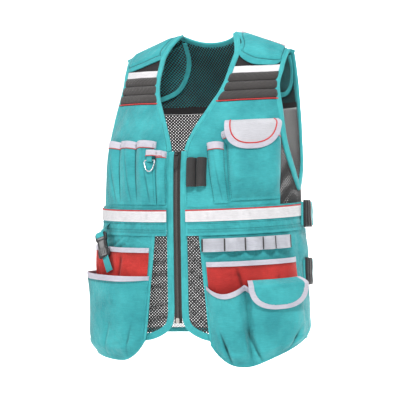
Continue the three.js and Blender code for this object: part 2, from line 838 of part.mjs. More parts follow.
for (const { name, sign } of sides) {
  const tape = (u, v) => ({
    across: sign * mix(seamGap / 2, zipHalfWidth, u),
    height: mix(zipFoot, -neckDepth, v),
    low: -clothWall,
    high: 0,
  });
  addPiece(`zip_tape_${name}`, sheetGeometry(1, 12, tape), zipGrey);
}
const sliderMiddle = -neckDepth - sliderHeight / 2;
const chainPlace = (u, v) => ({
  across: mix(-chainHalfWidth, chainHalfWidth, u),
  height: mix(zipFoot + chainHalfWidth, sliderMiddle - sliderHeight / 2 - seamGap, v),
  low: seamGap,
  high: seamGap + chainWall,
});
addPiece('zip_chain', sheetGeometry(1, 12, chainPlace), zipGrey);

const pullHole = Math.hypot(pullBar, pullWall) / 2 + pinClearance;
const pinLift = layerGap / 2 + sliderBody + pullHole;
const bridgeRadius = pullHole + sliderWall;
const sliderShape = new THREE.Shape();
sliderShape.moveTo(layerGap / 2, -sliderHeight / 2);
sliderShape.lineTo(layerGap / 2 + sliderBody, -sliderHeight / 2);
sliderShape.lineTo(layerGap / 2 + sliderBody, -bridgeRadius);
sliderShape.lineTo(pinLift, -bridgeRadius);
sliderShape.absarc(pinLift, 0, bridgeRadius, -Math.PI / 2, Math.PI / 2);
sliderShape.lineTo(layerGap / 2 + sliderBody, bridgeRadius);
sliderShape.lineTo(layerGap / 2 + sliderBody, sliderHeight / 2);
sliderShape.lineTo(layerGap / 2, sliderHeight / 2);
sliderShape.holes.push(new THREE.Path().absarc(pinLift, 0, pullHole, 0, 2 * Math.PI, true));
placedOn(addPiece('zip_slider', sideExtrude(sliderShape, sliderWidth), steel), 0, sliderMiddle, 0, 0);

const windowHalf = sliderWidth / 2 + pullSideGap;
const windowFoot = -bridgeRadius - 2 * pinClearance;
const shoulderFoot = windowFoot - pullBar;
const pullShape = new THREE.Shape();
pullShape.moveTo(-pullWidth / 2, pullBar / 2);
pullShape.lineTo(-pullWidth / 2, shoulderFoot);
pullShape.lineTo(-pullWidth / 3, pullBar / 2 - pullLength);
pullShape.lineTo(pullWidth / 3, pullBar / 2 - pullLength);
pullShape.lineTo(pullWidth / 2, shoulderFoot);
pullShape.lineTo(pullWidth / 2, pullBar / 2);
const pullWindow = new THREE.Path();
pullWindow.moveTo(-windowHalf, -pullBar / 2);
pullWindow.lineTo(windowHalf, -pullBar / 2);
pullWindow.lineTo(windowHalf, windowFoot);
pullWindow.lineTo(-windowHalf, windowFoot);
pullShape.holes.push(pullWindow);
placedOn(addPiece('zip_pull', faceExtrude(pullShape, pullWall), steel), 0, sliderMiddle, pinLift, 0);

// A patch pocket: a wall of cloth that swells off its panel, open at the top, with a thicker top band
const bandWall = 0.8;
const bandStep = 0.004;

function pocketRows(shares, bandShare) {
  return [...shares.map((share) => share * (1 - bandShare)), 1 - bandShare + bandStep, 1];
}

function boxFill(u) {
  return 1 - Math.abs(2 * u - 1) ** 5;
}

function tubeFill(count) {
  return (u) => Math.abs(Math.sin(u * count * Math.PI)) ** 0.7;
}

function pocketPlace(form) {
  const { topFrom, topWidth, footFrom, footWidth, top, foot, depth, band, fill, rise } = form;
  const bandShare = band / (foot - top);
  return (u, v) => {
    const across = mix(mix(footFrom, topFrom, v), mix(footFrom + footWidth, topFrom + topWidth, v), u);
    const low = beltSeat + depth * fill(u) * rise(v);
    const wall = clothWall + (v > 1 - bandShare ? bandWall : 0);
    return { across, height: levelHeight(across, mix(foot, top, v)), low, high: low + wall };
  };
}

const tubeRise = (v) => 1 - (1 - v) ** 2.4;
const pensForm = {
  topFrom: pensFrom, topWidth: pensTopWidth, footFrom: pensFootFrom, footWidth: pensFootWidth,
  top: pensTop, foot: pensFoot, depth: pensDepth, band: pensBand, fill: tubeFill(3), rise: tubeRise,
};
const smallForm = {
  topFrom: smallFrom, topWidth: smallWidth, footFrom: smallFrom, footWidth: smallFootWidth,
  top: smallTop, foot: smallFoot, depth: smallDepth, band: smallBand, fill: tubeFill(1), rise: tubeRise,
};
const narrowForm = {
  topFrom: narrowFrom, topWidth: narrowWidth, footFrom: narrowFrom + narrowFootShift,
  footWidth: narrowFootWidth, top: narrowTop, foot: narrowFoot, depth: narrowDepth, band: narrowBand,
  fill: tubeFill(1), rise: tubeRise,
};
const chestForm = {
  topFrom: chestFrom, topWidth: chestPocketWidth, footFrom: chestFrom + chestFootInset,
  footWidth: chestPocketWidth - chestFootInset, top: chestTop, foot: chestFoot, depth: chestPocketDepth,
  band: 0, fill: boxFill, rise: (v) => Math.min(1, 0.3 + 2.2 * v) * Math.min(1, 5 * v),
};

function addPocket(name, form, sign, columns, shares) {
  const rows = form.band ? pocketRows(shares, form.band / (form.foot - form.top)) : shares;
  addPiece(name, sheetGeometry(columns, rows, mirrored(sign, pocketPlace(form))), teal);
}

addPocket('pen_pocket', pensForm, RIGHT, 18, [0, 0.25, 0.6, 1]);
addPocket('small_pocket', smallForm, RIGHT, 6, [0, 0.3, 0.65, 1]);
addPocket('narrow_pocket', narrowForm, LEFT, 6, [0, 0.3, 0.65, 1]);
addPocket('chest_pocket', chestForm, LEFT, [0, 0.05, 0.14, 0.3, 0.5, 0.7, 0.86, 0.95, 1],
  [0, 0.1, 0.2, 0.4, 0.7, 1]);

const loopsPlace = (u, v) => {
  const across = loopsFrom + loopsWidth * u;
  const low = beltSeat + loopsDepth * tubeFill(2)(u);
  return { across, height: levelHeight(across, mix(loopsFoot, loopsTop, v)), low, high: low + webbingWall };
};
addPiece('webbing_loops', sheetGeometry(10, 2, loopsPlace), blackCloth);

// The chest flap leaves the panel above the pocket and hangs over its front
function flapPlace({ middle, width, top, drop, seat, front, mouth }) {
  return (u, v) => {
    const half = (width / 2) * lookUp(flapRows, 'up', 'half', v);
    const across = middle + half * (2 * u - 1);
    const height = levelHeight(across, mix(top + drop, top, v));
    const over = Math.min(1, Math.max(0, (1 - v) * drop / mouth));
    const low = mix(seat, front, over);
    return { across, height, low, high: low + clothWall };
  };
}
const chestFlapForm = {
  middle: chestFrom + chestPocketWidth / 2, width: flapWidth, top: flapTop, drop: flapDrop, seat: beltSeat,
  front: beltSeat + chestPocketDepth + clothWall + layerGap, mouth: chestTop - flapTop - flapLead,
};

function flapGeometry(form) {
  return sheetGeometry(8, [0, 0.1, 0.3, 0.55, 1 - form.mouth / form.drop, 1], flapPlace(form));
}
addPiece('chest_flap', flapGeometry(chestFlapForm), greyCloth);

// D-ring on its webbing tab, hanging over the pen pocket
const ringHole = ringWire / 2 + pinClearance;
const tabSeat = beltSeat + clothWall + tabLift;
const ringLift = tabSeat + tabWall + ringHole;
const tabShape = new THREE.Shape();
tabShape.moveTo(tabSeat, tabReach);
tabShape.lineTo(tabSeat, 0);
tabShape.absarc(ringLift, 0, ringHole + tabWall, Math.PI, 2 * Math.PI);
tabShape.lineTo(ringLift + ringHole + tabWall, tabReach);
tabShape.holes.push(new THREE.Path().absarc(ringLift, 0, ringHole, 0, 2 * Math.PI, true));
placedOn(addPiece('d_ring_tab', sideExtrude(tabShape, tabWidth), teal), -ringAcross, ringBarHeight, 0, 0);

function ringPath() {
  const half = ringWidth / 2 - ringWire / 2;
  const points = evenShares(4).map((share) => new THREE.Vector2(mix(-half, half, share), 0));
  for (const share of evenShares(10).slice(1, -1)) {
    const angle = -share * Math.PI;
    points.push(new THREE.Vector2(half * Math.cos(angle), ringDrop * Math.sin(angle)));
  }
  return points;
}

function wireRings(path, radius, corners) {
  return path.map((at, i) => {
    const before = path[(i + path.length - 1) % path.length];
    const after = path[(i + 1) % path.length];
    const run = after.clone().sub(before).normalize();
    return evenShares(corners).slice(0, -1).map((share) => {
      const turn = 2 * Math.PI * share;
      const aside = radius * Math.cos(turn);
      return new THREE.Vector3(at.x + run.y * aside, at.y - run.x * aside, radius * Math.sin(turn));
    });
  });
}
const ringMesh = addPiece('d_ring', ringGeometry(wireRings(ringPath(), ringWire / 2, 6), true), steel);
placedOn(ringMesh, -ringAcross, ringBarHeight, ringLift, 0);

// Pouches hang from the belt; each panel wraps round its side and swells a little between the side straps
const pouchSides = {
  left: {
    foot: pouchFootLeft, outerRise: pouchOuterRiseLeft, redTop: redTopLeft, lowerTop: lowerTopLeft,
  },
  right: {
    foot: pouchFootRight, outerRise: pouchOuterRiseRight, redTop: redTopRight, lowerTop: lowerTopRight,
  },
};
const pouchTop = beltFoot + seamGap;

function pouchFoot(name, across) {
  const { foot, outerRise } = pouchSides[name];
  const corner = 1 - Math.min(1, Math.max(0, across - pouchInnerFoot) / pouchCorner);
  const outer = Math.max(0, across - pouchInnerFoot - pouchCorner - pouchCornerFlat) / pouchOuterSpan;
  return -foot + pouchCornerRise * corner ** 2 + outerRise * outer;
}

function pouchEdge(height) {
  return mix(pouchInnerTop, pouchInnerFoot, Math.min(1, (-height - pouchTop) / (pouchFootLeft - pouchTop)));
}

function pouchLift(across, height) {
  const down = Math.min(1, Math.max(0, (-height - pouchTop) / (pouchFootRight - pouchTop)));
  const beside = Math.min(1, Math.max(0, (across - quarterGirth + pouchWrap / 2) / (1.5 * pouchWrap)));
  const between = Math.max(0, Math.sin(Math.min(1, down / pouchBulgeShare) * Math.PI));
  return beltSeat + pouchHang * down + pouchBulge * Math.sin(beside * Math.PI) * between;
}

function pouchPanelPlace(name) {
  return (u, v) => {
    const middle = mix(-pouchSides[name].foot, -pouchTop, v);
    const across = mix(pouchEdge(middle), quarterGirth + pouchWrap, u);
    const height = mix(pouchFoot(name, across), levelHeight(across, pouchTop), v);
    const low = pouchLift(across, height);
    return { across, height, low, high: low + clothWall };
  };
}

function pouchPocketPlace(name, form) {
  const { inset, width, top, foot, seat, depth, fill, rise, sag } = form;
  const bandShare = pouchBandHeight / (foot - top);
  return (u, v) => {
    const middle = mix(-foot, -top, v);
    const across = pouchEdge(middle) + inset + width * u;
    const footHeight = Math.max(levelHeight(across, foot), pouchFoot(name, across) + seamGap);
    const height = mix(footHeight, levelHeight(across, top + sag(u)), v);
    const low = pouchLift(across, height) + clothWall + seat + depth * fill(u) * rise(v);
    const wall = clothWall + (v > 1 - bandShare ? bandWall : 0);
    return { across, height, low, high: low + wall };
  };
}

const pleatFill = (u) => boxFill(u) * (1 - pleatDepth * Math.exp(-(((u - pleatShare) / pleatSpread) ** 2)));
const redForm = (name) => ({
  inset: pouchInset, width: pouchWidth, top: pouchSides[name].redTop,
  foot: pouchSides[name].redTop + redPocketHeight, seat: layerGap, depth: redDepth, fill: boxFill,
  rise: tubeRise, sag: () => 0,
});
const lowerForm = (name, fill, sag) => ({
  inset: pouchInset - lowerMargin, width: pouchWidth + 2 * lowerMargin, top: pouchSides[name].lowerTop,
  foot: pouchSides[name].foot, seat: layerGap, depth: lowerDepth, fill,
  rise: (v) => Math.min(1, 6 * v) * mix(0.55, 1, v), sag,
});
const pouchSag = (u) => (u < pleatShare ? lowerSag * Math.sin((u / pleatShare) * Math.PI) : lowerSag / 2);
const boxColumns = [0, 0.04, 0.11, 0.22, 0.36, 0.5, 0.64, 0.78, 0.89, 0.96, 1];
const pleatColumns = [0, 0.04, 0.11, 0.2, 0.28, 0.33, 0.37, 0.41, 0.46, 0.58, 0.72, 0.86, 0.95, 1];
const redRows = pocketRows([0, 0.3, 0.65, 1], pouchBandHeight / redPocketHeight);

for (const { name, sign } of sides) {
  const lowerHeight = pouchSides[name].foot - pouchSides[name].lowerTop;
  const lowerRows = pocketRows([0, 0.08, 0.2, 0.45, 0.72, 1], pouchBandHeight / lowerHeight);
  const isPleated = name === 'left';
  const lower = lowerForm(name, isPleated ? pleatFill : boxFill, isPleated ? pouchSag : () => 0);
  const add = (piece, columns, rows, place, finish) =>
    addPiece(`${piece}_${name}`, sheetGeometry(columns, rows, mirrored(sign, place)), finish);
  add('pouch_panel', 12, 7, pouchPanelPlace(name), teal);
  add('pouch_red_pocket', boxColumns, redRows, pouchPocketPlace(name, redForm(name)), redCloth);
  add('pouch_pocket', isPleated ? pleatColumns : boxColumns, lowerRows, pouchPocketPlace(name, lower), teal);
}

// Elastic tool loops above the left pouch
const elasticPlace = (u, v) => {
  const across = mix(pouchEdge(-elasticTop) + pouchInset / 2, pouchEdge(-elasticTop) + pouchWidth, u);
  const height = levelHeight(across, elasticTop + elasticHeight * (1 - v));
  const seat = pouchLift(across, height) + clothWall + layerGap;
  const low = seat + elasticDepth * tubeFill(elasticCount)(u);
  return { across, height, low, high: low + webbingWall };
};
addPiece('elastic_loops', sheetGeometry(4 * elasticCount, 1, elasticPlace), greyCloth);

const pouchFlapMiddle = pouchEdge(-pouchFlapTop) + pouchInset + pouchWidth * mix(pleatShare, 1, 0.48);
const pouchFlapSeat = pouchLift(pouchFlapMiddle, -pouchFlapTop) + clothWall;
const pouchFlapForm = {
  middle: pouchFlapMiddle, width: pouchFlapWidth, top: pouchFlapTop, drop: pouchFlapDrop,
  seat: pouchFlapSeat + layerGap + redDepth + clothWall,
  front: pouchFlapSeat + lowerDepth + clothWall + bandWall + 2 * layerGap,
  mouth: lowerTopLeft - pouchFlapTop + lowerSag / 2 - flapLead / 2,
};
addPiece('pouch_flap', flapGeometry(pouchFlapForm), teal);

// Webbing along a path of { across, height, lift }, its width turned by `lean`
function webbingGeometry(path, width, lean) {
  const middles = path.map((at) => spot(at.across, at.height, at.lift));
  return ringGeometry(path.map((at, i) => {
    const { along, up } = clothFrame(at.across, at.height);
    const side = along.clone().multiplyScalar(Math.cos(lean)).addScaledVector(up, Math.sin(lean));
    const run = middles[Math.min(i + 1, path.length - 1)].clone().sub(middles[Math.max(i - 1, 0)]);
    const face = new THREE.Vector3().crossVectors(side, run).normalize();
    const corner = (a, b) => middles[i].clone().addScaledVector(side, (a * width) / 2)
      .addScaledVector(face, (b * webbingWall) / 2);
    return [corner(-1, -1), corner(1, -1), corner(1, 1), corner(-1, 1)];
  }), false);
}

// Fastened buckle on the right pouch: a short strap from the belt, the buckle, and the strap's tail
const buckleMiddle = buckleStandOff + buckleWall / 2;
const strapMiddle = trimSeat + webbingWall / 2;

function alongBuckle(reach, lift) {
  return {
    across: -buckleAcross - reach * Math.sin(buckleLean),
    height: buckleHeight + reach * Math.cos(buckleLean),
    lift,
  };
}
const buckleEnd = buckleLength / 2 + seamGap;
addPiece('buckle_strap', webbingGeometry([
  alongBuckle(buckleEnd, buckleMiddle),
  alongBuckle(buckleEnd + strapReach / 2, mix(buckleMiddle, strapMiddle, 0.4)),
  alongBuckle(buckleEnd + strapReach, strapMiddle),
], strapWidth, buckleLean), teal);
addPiece('strap_tail', webbingGeometry([
  alongBuckle(-buckleEnd, buckleMiddle),
  alongBuckle(-buckleEnd - tailReach / 2, buckleMiddle - tailDrop / 2),
  alongBuckle(-buckleEnd - tailReach, buckleMiddle - tailDrop),
], strapWidth, buckleLean), teal);

const waist = buckleWidth / 2 - buckleNotch;
const notchHalf = buckleLength / 8;
const notchEnd = buckleLength / 4;
const buckleOutline = [
  [-buckleWidth / 2, notchEnd], [-waist, notchHalf], [-waist, -notchHalf], [-buckleWidth / 2, -notchEnd],
  [-buckleWidth / 2, -buckleLength / 2], [buckleWidth / 2, -buckleLength / 2], [buckleWidth / 2, -notchEnd],
  [waist, -notchHalf], [waist, notchHalf], [buckleWidth / 2, notchEnd],
  [buckleWidth / 2, buckleLength / 2], [-buckleWidth / 2, buckleLength / 2],
];
const buckleShape = new THREE.Shape(buckleOutline.map(([x, y]) => new THREE.Vector2(x, y)));
const buckleMesh = addPiece('buckle', faceExtrude(buckleShape, buckleWall), blackPlastic);
placedOn(buckleMesh, -buckleAcross, buckleHeight, buckleMiddle, buckleLean);

// Side straps bow over the side seams, each with a plastic buckle under it
function sideStrapPlace(middle, seat, farSeat) {
  return (u, v) => {
    const across = quarterGirth + sideStrapFrom + sideStrapLength * u;
    const low = mix(seat, farSeat, u) + sideStrapLift * Math.sin(u * Math.PI);
    return { across, height: middle + sideStrapHeight * (v - 0.5), low, high: low + webbingWall };
  };
}

function sideBucklePlace(strap) {
  const from = sideBuckleFrom / sideStrapLength;
  const width = sideBuckleWidth / sideStrapLength;
  const margin = sideBuckleMargin / sideStrapHeight;
  return (u, v) => {
    const over = strap(from + width * u, mix(-margin, 1 + margin, v));
    const high = over.low - seamGap;
    return { ...over, low: high - sideBuckleWall, high };
  };
}
const overStripe = trimSeat + stripeWall + layerGap;
const overPouch = pouchLift(quarterGirth + sideStrapFrom, lowerStrapHeight) + clothWall + 1.5 * layerGap;
const sideStraps = [
  { level: 'upper', middle: upperStrapHeight, seat: overStripe, farSeat: overStripe },
  { level: 'lower', middle: lowerStrapHeight, seat: overPouch, farSeat: seamGap },
];
for (const { level, middle, seat, farSeat } of sideStraps) {
  const strap = sideStrapPlace(middle, seat, farSeat);
  for (const { name, sign } of sides) {
    addPiece(`side_strap_${level}_${name}`, sheetGeometry(10, 2, mirrored(sign, strap)), teal);
    addPiece(`side_buckle_${level}_${name}`, sheetGeometry(3, 2, mirrored(sign, sideBucklePlace(strap))),
      blackPlastic);
  }
}

export default vest;
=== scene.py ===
"""Looks of the utility work vest: net and cloth body, padded shoulders, pockets, pouches, straps and zip.

A place on the cloth is (across, height): millimetres round the body from the zip, and +Z height.
`lift` is the distance out of the body's cloth. Blender gets metres.
"""

import math

import bpy
import numpy as np
from mathutils import Matrix, Vector


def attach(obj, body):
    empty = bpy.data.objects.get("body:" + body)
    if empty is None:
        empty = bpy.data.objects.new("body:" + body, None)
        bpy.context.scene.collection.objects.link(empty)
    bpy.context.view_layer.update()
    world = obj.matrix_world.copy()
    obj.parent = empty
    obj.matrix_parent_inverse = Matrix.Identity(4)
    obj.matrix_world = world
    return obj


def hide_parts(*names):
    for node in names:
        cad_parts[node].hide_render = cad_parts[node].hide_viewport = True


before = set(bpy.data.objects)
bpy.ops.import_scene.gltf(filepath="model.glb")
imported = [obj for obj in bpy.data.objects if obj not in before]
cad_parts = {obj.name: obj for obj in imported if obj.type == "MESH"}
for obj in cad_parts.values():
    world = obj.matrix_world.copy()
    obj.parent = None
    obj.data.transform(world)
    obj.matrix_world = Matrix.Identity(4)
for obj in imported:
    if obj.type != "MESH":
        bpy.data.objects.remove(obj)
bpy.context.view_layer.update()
MM = 0.001

# Body form, in millimetres, as the part has it
CHEST_WIDTH, CHEST_DEPTH = 404, 268
BODY_LENGTH = 611
RIDGE_SETBACK = 40
NECK_HALF_WIDTH = 58
NECK_BACK_DROP = 14
SHOULDER_SLOPE = 0.37
SHOULDER_DROP = 250
ARMHOLE_DEPTH = 322
NECK_DEPTH = 248
SIDE_RISE = 12
HEM_CUT_WIDTH, HEM_CUT_RISE = 62, 34
CLOTH_WALL = 1.5
LAYER_GAP = 0.8
SEAM_GAP = 0.4
RIDGE_GAP = 0.35
BINDING_WIDTH = 8
NECK_BINDING_WIDTH = 6
FRONT_BINDING_WIDTH = 11.6
ZIP_HALF_WIDTH = 7
STRIPE_TOP, RIBS_TOP, RIBS_FOOT, PIPING_HEIGHT = 81, 95, 149, 4
SHOULDER_TILT = 0.05
TONGUE_REACH, TONGUE_INSET = 84, 8
YOKE_FOOT = 154
BELT_TOP, BELT_HEIGHT = 357, 50
BELT_STRIPE_HEIGHT, BELT_STRIPE_INSET = 23, 3.5
PANEL_WIDTH = 205
NET_LOW, NET_HIGH = -0.7, -0.4
TAPE_WALL = 0.9
RIB_COUNT = 3
LEFT, RIGHT = 1, -1
SIDES = (("left", LEFT), ("right", RIGHT))

PANEL_SEAT = LAYER_GAP
PANEL_TOP = PANEL_SEAT + CLOTH_WALL
BELT_SEAT = PANEL_TOP + LAYER_GAP
BELT_TOP_FACE = BELT_SEAT + CLOTH_WALL
TRIM_SEAT = BELT_TOP_FACE + LAYER_GAP
PLACKET_EDGE = ZIP_HALF_WIDTH + 2 * SEAM_GAP + FRONT_BINDING_WIDTH
FRONT_MESH_TOP = RIBS_FOOT + PIPING_HEIGHT + SEAM_GAP
MESH_FOOT = -BODY_LENGTH + FRONT_BINDING_WIDTH + SEAM_GAP

# Down the body, as shares: width, front depth, back depth and how boxy each half of the girth is
BODY_DOWN = (0, 0.12, 0.25, 0.41, 0.54, 0.65, 0.97, 1.12)
BODY_WIDTH = (0.95, 0.955, 0.96, 0.98, 0.99, 1, 1.03, 1.04)
BODY_FRONT = (0.9, 0.91, 0.92, 0.97, 1, 1, 0.97, 0.96)
BODY_BACK = (0.92, 0.94, 0.95, 0.97, 0.98, 1, 1.04, 1.05)
FRONT_BOX = (3.2, 2.5, 2.25, 2.25, 2.25, 2.25, 2.25, 2.25)
BACK_BOX = (3.2, 3.15, 3, 2.6, 2.25, 2.25, 2.25, 2.25)
WAIST_BOX = 2.25
FRONT_REACH = ((0, 0), (0.012, 0.06), (0.05, 0.145), (0.12, 0.26), (0.22, 0.385), (0.38, 0.565), (0.6, 0.76),
               (0.8, 0.905), (0.95, 0.97), (1.1, 1), (1.3, 1))
BACK_REACH = ((0, 0), (0.012, 0.1), (0.05, 0.25), (0.12, 0.42), (0.25, 0.66), (0.5, 0.87), (0.75, 0.965), (1, 1),
              (1.2, 1))
ARMHOLE = ((0.14, 0.665), (0.2, 0.67), (0.27, 0.66), (0.36, 0.665), (0.46, 0.695), (0.56, 0.735), (0.67, 0.768),
           (0.78, 0.816), (0.876, 0.879), (0.95, 0.945), (1, 1))
BACK_ARMHOLE = ((0.14, 0.665), (0.25, 0.665), (0.4, 0.68), (0.6, 0.735), (0.8, 0.83), (0.93, 0.925), (1, 1))
NECK = ((0, 0.77), (0.1, 1), (0.18, 1.09), (0.27, 1.06), (0.36, 1.04), (0.44, 1.007), (0.54, 0.903), (0.65, 0.653),
        (0.81, 0.29), (0.93, 0.076), (1, 0))
PAD_FOOT = {"left": ((0, 0.42), (0.12, 0.22), (0.35, 0.05), (0.6, 0.01), (0.88, 0.01), (1, 0.14)),
            "right": ((0, 0.34), (0.12, 0.27), (0.35, 0.17), (0.6, 0.08), (0.88, 0.01), (1, 0.03))}


def mix(a, b, share):
    return a + (b - a) * share


def same_shape(*values):
    return np.broadcast_arrays(*(np.asarray(value, float) for value in values))


def summed(steps):
    """Distance of each point of a line from its start, from the steps between the points."""
    return np.concatenate([[0], np.cumsum(steps)])


def full_turn(steps):
    return np.linspace(0, 2 * math.pi, steps, endpoint=False)


def look_up(rows, at):
    """Smooth curve through (key, value) rows, flat beyond its ends."""
    keys, values = np.array(rows, float).T
    at = np.clip(np.asarray(at, float), keys[0], keys[-1])
    i = np.clip(np.searchsorted(keys, at, side="left") - 1, 0, len(keys) - 2)
    before = np.maximum(np.arange(len(keys)) - 1, 0)
    after = np.minimum(np.arange(len(keys)) + 1, len(keys) - 1)
    slopes = (values[after] - values[before]) / (keys[after] - keys[before])
    span = keys[i + 1] - keys[i]
    u = (at - keys[i]) / span
    bend = u * (1 - u) * ((1 - u) * slopes[i] - u * slopes[i + 1]) * span
    return mix(values[i], values[i + 1], u * u * (3 - 2 * u)) + bend


def oval_point(half_width, half_depth, boxiness, angle):
    side, front = np.sin(angle), np.cos(angle)
    reach = (np.abs(side) ** boxiness + np.abs(front) ** boxiness) ** (-1 / boxiness)
    return half_width * reach * side, half_depth * reach * front


_angles = np.linspace(0, math.pi / 2, 91)
_x, _y = oval_point(CHEST_WIDTH / 2, CHEST_DEPTH / 2, WAIST_BOX, _angles)
GIRTH_ROWS = np.stack([summed(np.hypot(np.diff(_x), np.diff(_y))), _angles], 1)
QUARTER = GIRTH_ROWS[-1, 0]


def girth_angle(across):
    quarter = np.floor(across / QUARTER)
    rest = across - quarter * QUARTER
    even = quarter % 2 == 0
    part = look_up(GIRTH_ROWS, np.where(even, rest, QUARTER - rest))
    return quarter * (math.pi / 2) + np.where(even, part, math.pi / 2 - part)


def ridge_height(x):
    return -SHOULDER_SLOPE * np.maximum(0, np.abs(x) - NECK_HALF_WIDTH)


def ridge_at(across):
    return ridge_height(oval_point(CHEST_WIDTH / 2 * BODY_WIDTH[0], 1, FRONT_BOX[0], girth_angle(across))[0])


def cloth_point(across, height):
    across, height = same_shape(across, height)
    angle = girth_angle(across)
    is_front = np.cos(angle) >= 0
    down = -height / BODY_LENGTH
    width, front, back, front_box, back_box = (look_up(list(zip(BODY_DOWN, values)), down) for values in (
        BODY_WIDTH, BODY_FRONT, BODY_BACK, FRONT_BOX, BACK_BOX))
    depth = np.where(is_front, front, back) * CHEST_DEPTH / 2
    x, out = oval_point(CHEST_WIDTH / 2 * width, depth, np.where(is_front, front_box, back_box), angle)
    z = np.minimum(height, ridge_height(x))
    drop = (ridge_height(x) - z) / SHOULDER_DROP
    reach = np.where(is_front, look_up(FRONT_REACH, drop), look_up(BACK_REACH, drop))
    return np.stack([x, -(out + RIDGE_SETBACK) * reach, z], -1)


def ease(x):
    x = np.clip(x, 0, 1)
    return x * x * (3 - 2 * x)


def valley(x, at, width):
    """A narrow crease: 1 on its line, 0 beside it."""
    return np.exp(-((x - at) / width) ** 2)


def unit(v):
    return v / np.linalg.norm(v, axis=-1, keepdims=True)


def cloth_frame(across, height):
    step = 0.5
    along = unit(cloth_point(across + step, height) - cloth_point(across - step, height))
    rise = cloth_point(across, height + step) - cloth_point(across, height - step)
    out = unit(np.cross(along, rise))
    return along, np.cross(out, along), out


def body_ripple(across, height):
    """Soft unevenness that all layers share, in millimetres."""
    a, h = across / 100, height / 100
    wave = np.sin(2.3 * a + 1.7 * h + 0.6) * 0.5 + np.sin(3.9 * a - 2.9 * h + 2.1) * 0.3
    beside_zip = np.minimum(1, np.abs(across) / 40)
    return (1.2 * wave + 0.5 * np.sin(7.3 * h + 2.2 * np.sin(3.1 * a)) * np.sin(5.1 * a + 1.3)) * beside_zip


def spot(across, height, lift):
    """Places in metres."""
    across, height, lift = same_shape(across, height, lift)
    out = cloth_frame(across, height)[2]
    near_ridge = np.clip((ridge_at(across) - height) / 40, 0, 1)
    return (cloth_point(across, height) + out * (lift + body_ripple(across, height) * near_ridge)[..., None]) * MM


def on_back(from_middle):
    return 2 * QUARTER - from_middle


def level_height(across, down):
    return -down + SIDE_RISE * np.minimum(1, np.abs(across) / QUARTER) ** 2


# Edges of the cloth
def armhole_edge(height):
    return QUARTER * look_up(ARMHOLE, -height / ARMHOLE_DEPTH)


def back_armhole_edge(height):
    return QUARTER * look_up(BACK_ARMHOLE, -height / ARMHOLE_DEPTH)


def neck_edge(height):
    return PLACKET_EDGE + NECK_HALF_WIDTH * look_up(NECK, -height / NECK_DEPTH)


def hem_edge(across):
    share = 1 - np.clip((np.abs(across) - ZIP_HALF_WIDTH) / HEM_CUT_WIDTH, 0, 1)
    return -BODY_LENGTH + HEM_CUT_RISE * share ** 1.8 + FRONT_BINDING_WIDTH + SEAM_GAP


def shoulder_line(across, down):
    return -down + SHOULDER_TILT * (np.abs(across) - NECK_HALF_WIDTH)


def towards_ridge(v):
    return 1 - (1 - v) ** 1.8


# Node materials
def new_material(name):
    material = bpy.data.materials.new(name)
    material.use_nodes = True
    material.node_tree.nodes.clear()
    return material, Nodes(material.node_tree)


class Nodes:
    """Short calls for building a node tree."""

    def __init__(self, tree):
        self.tree = tree

    def add(self, kind, **values):
        node = self.tree.nodes.new(kind)
        for key, value in values.items():
            setattr(node, key, value)
        return node

    def link(self, source, target):
        self.tree.links.new(source, target)

    def feed(self, socket, value):
        if isinstance(value, bpy.types.NodeSocket):
            self.link(value, socket)
        else:
            socket.default_value = value

    def math(self, operation, *values):
        node = self.add("ShaderNodeMath", operation=operation)
        for socket, value in zip(node.inputs, values):
            self.feed(socket, value)
        return node.outputs[0]

    def uv(self):
        node = self.add("ShaderNodeUVMap", uv_map="cloth")
        parts = self.add("ShaderNodeSeparateXYZ")
        self.link(node.outputs[0], parts.inputs[0])
        return parts.outputs[0], parts.outputs[1]

    def noise(self, scale, detail=2.0, vector=None):
        node = self.add("ShaderNodeTexNoise")
        node.inputs["Scale"].default_value = scale
        node.inputs["Detail"].default_value = detail
        if vector is None:
            vector = self.add("ShaderNodeTexCoord").outputs["Object"]
        self.link(vector, node.inputs["Vector"])
        return node.outputs["Fac"]

    def ramp(self, fac, stops):
        node = self.add("ShaderNodeValToRGB")
        while len(node.color_ramp.elements) < len(stops):
            node.color_ramp.elements.new(0.5)
        for element, (position, color) in zip(node.color_ramp.elements, stops):
            element.position = position
            element.color = (*color, 1)
        self.link(fac, node.inputs["Fac"])
        return node.outputs["Color"]

    def multiply_color(self, a, b):
        node = self.add("ShaderNodeMix", data_type="RGBA", blend_type="MULTIPLY")
        node.inputs["Factor"].default_value = 1.0
        self.link(a, node.inputs[6])
        self.link(b, node.inputs[7])
        return node.outputs[2]

    def finish(self, color, roughness, height=None, distance=0.0004, alpha=1.0, metallic=0.0, sheen=0.0,
               coat=0.0, specular=0.4):
        shader = self.add("ShaderNodeBsdfPrincipled")
        for name, value in (("Base Color", color), ("Roughness", roughness), ("Metallic", metallic),
                            ("Specular IOR Level", specular), ("Sheen Weight", sheen), ("Sheen Roughness", 0.4),
                            ("Coat Weight", coat), ("Alpha", alpha)):
            self.feed(shader.inputs[name], value)
        if height is not None:
            bump = self.add("ShaderNodeBump")
            bump.inputs["Distance"].default_value = distance
            bump.inputs["Strength"].default_value = 0.7
            self.link(height, bump.inputs["Height"])
            self.link(bump.outputs[0], shader.inputs["Normal"])
        output = self.add("ShaderNodeOutputMaterial")
        self.link(shader.outputs[0], output.inputs[0])


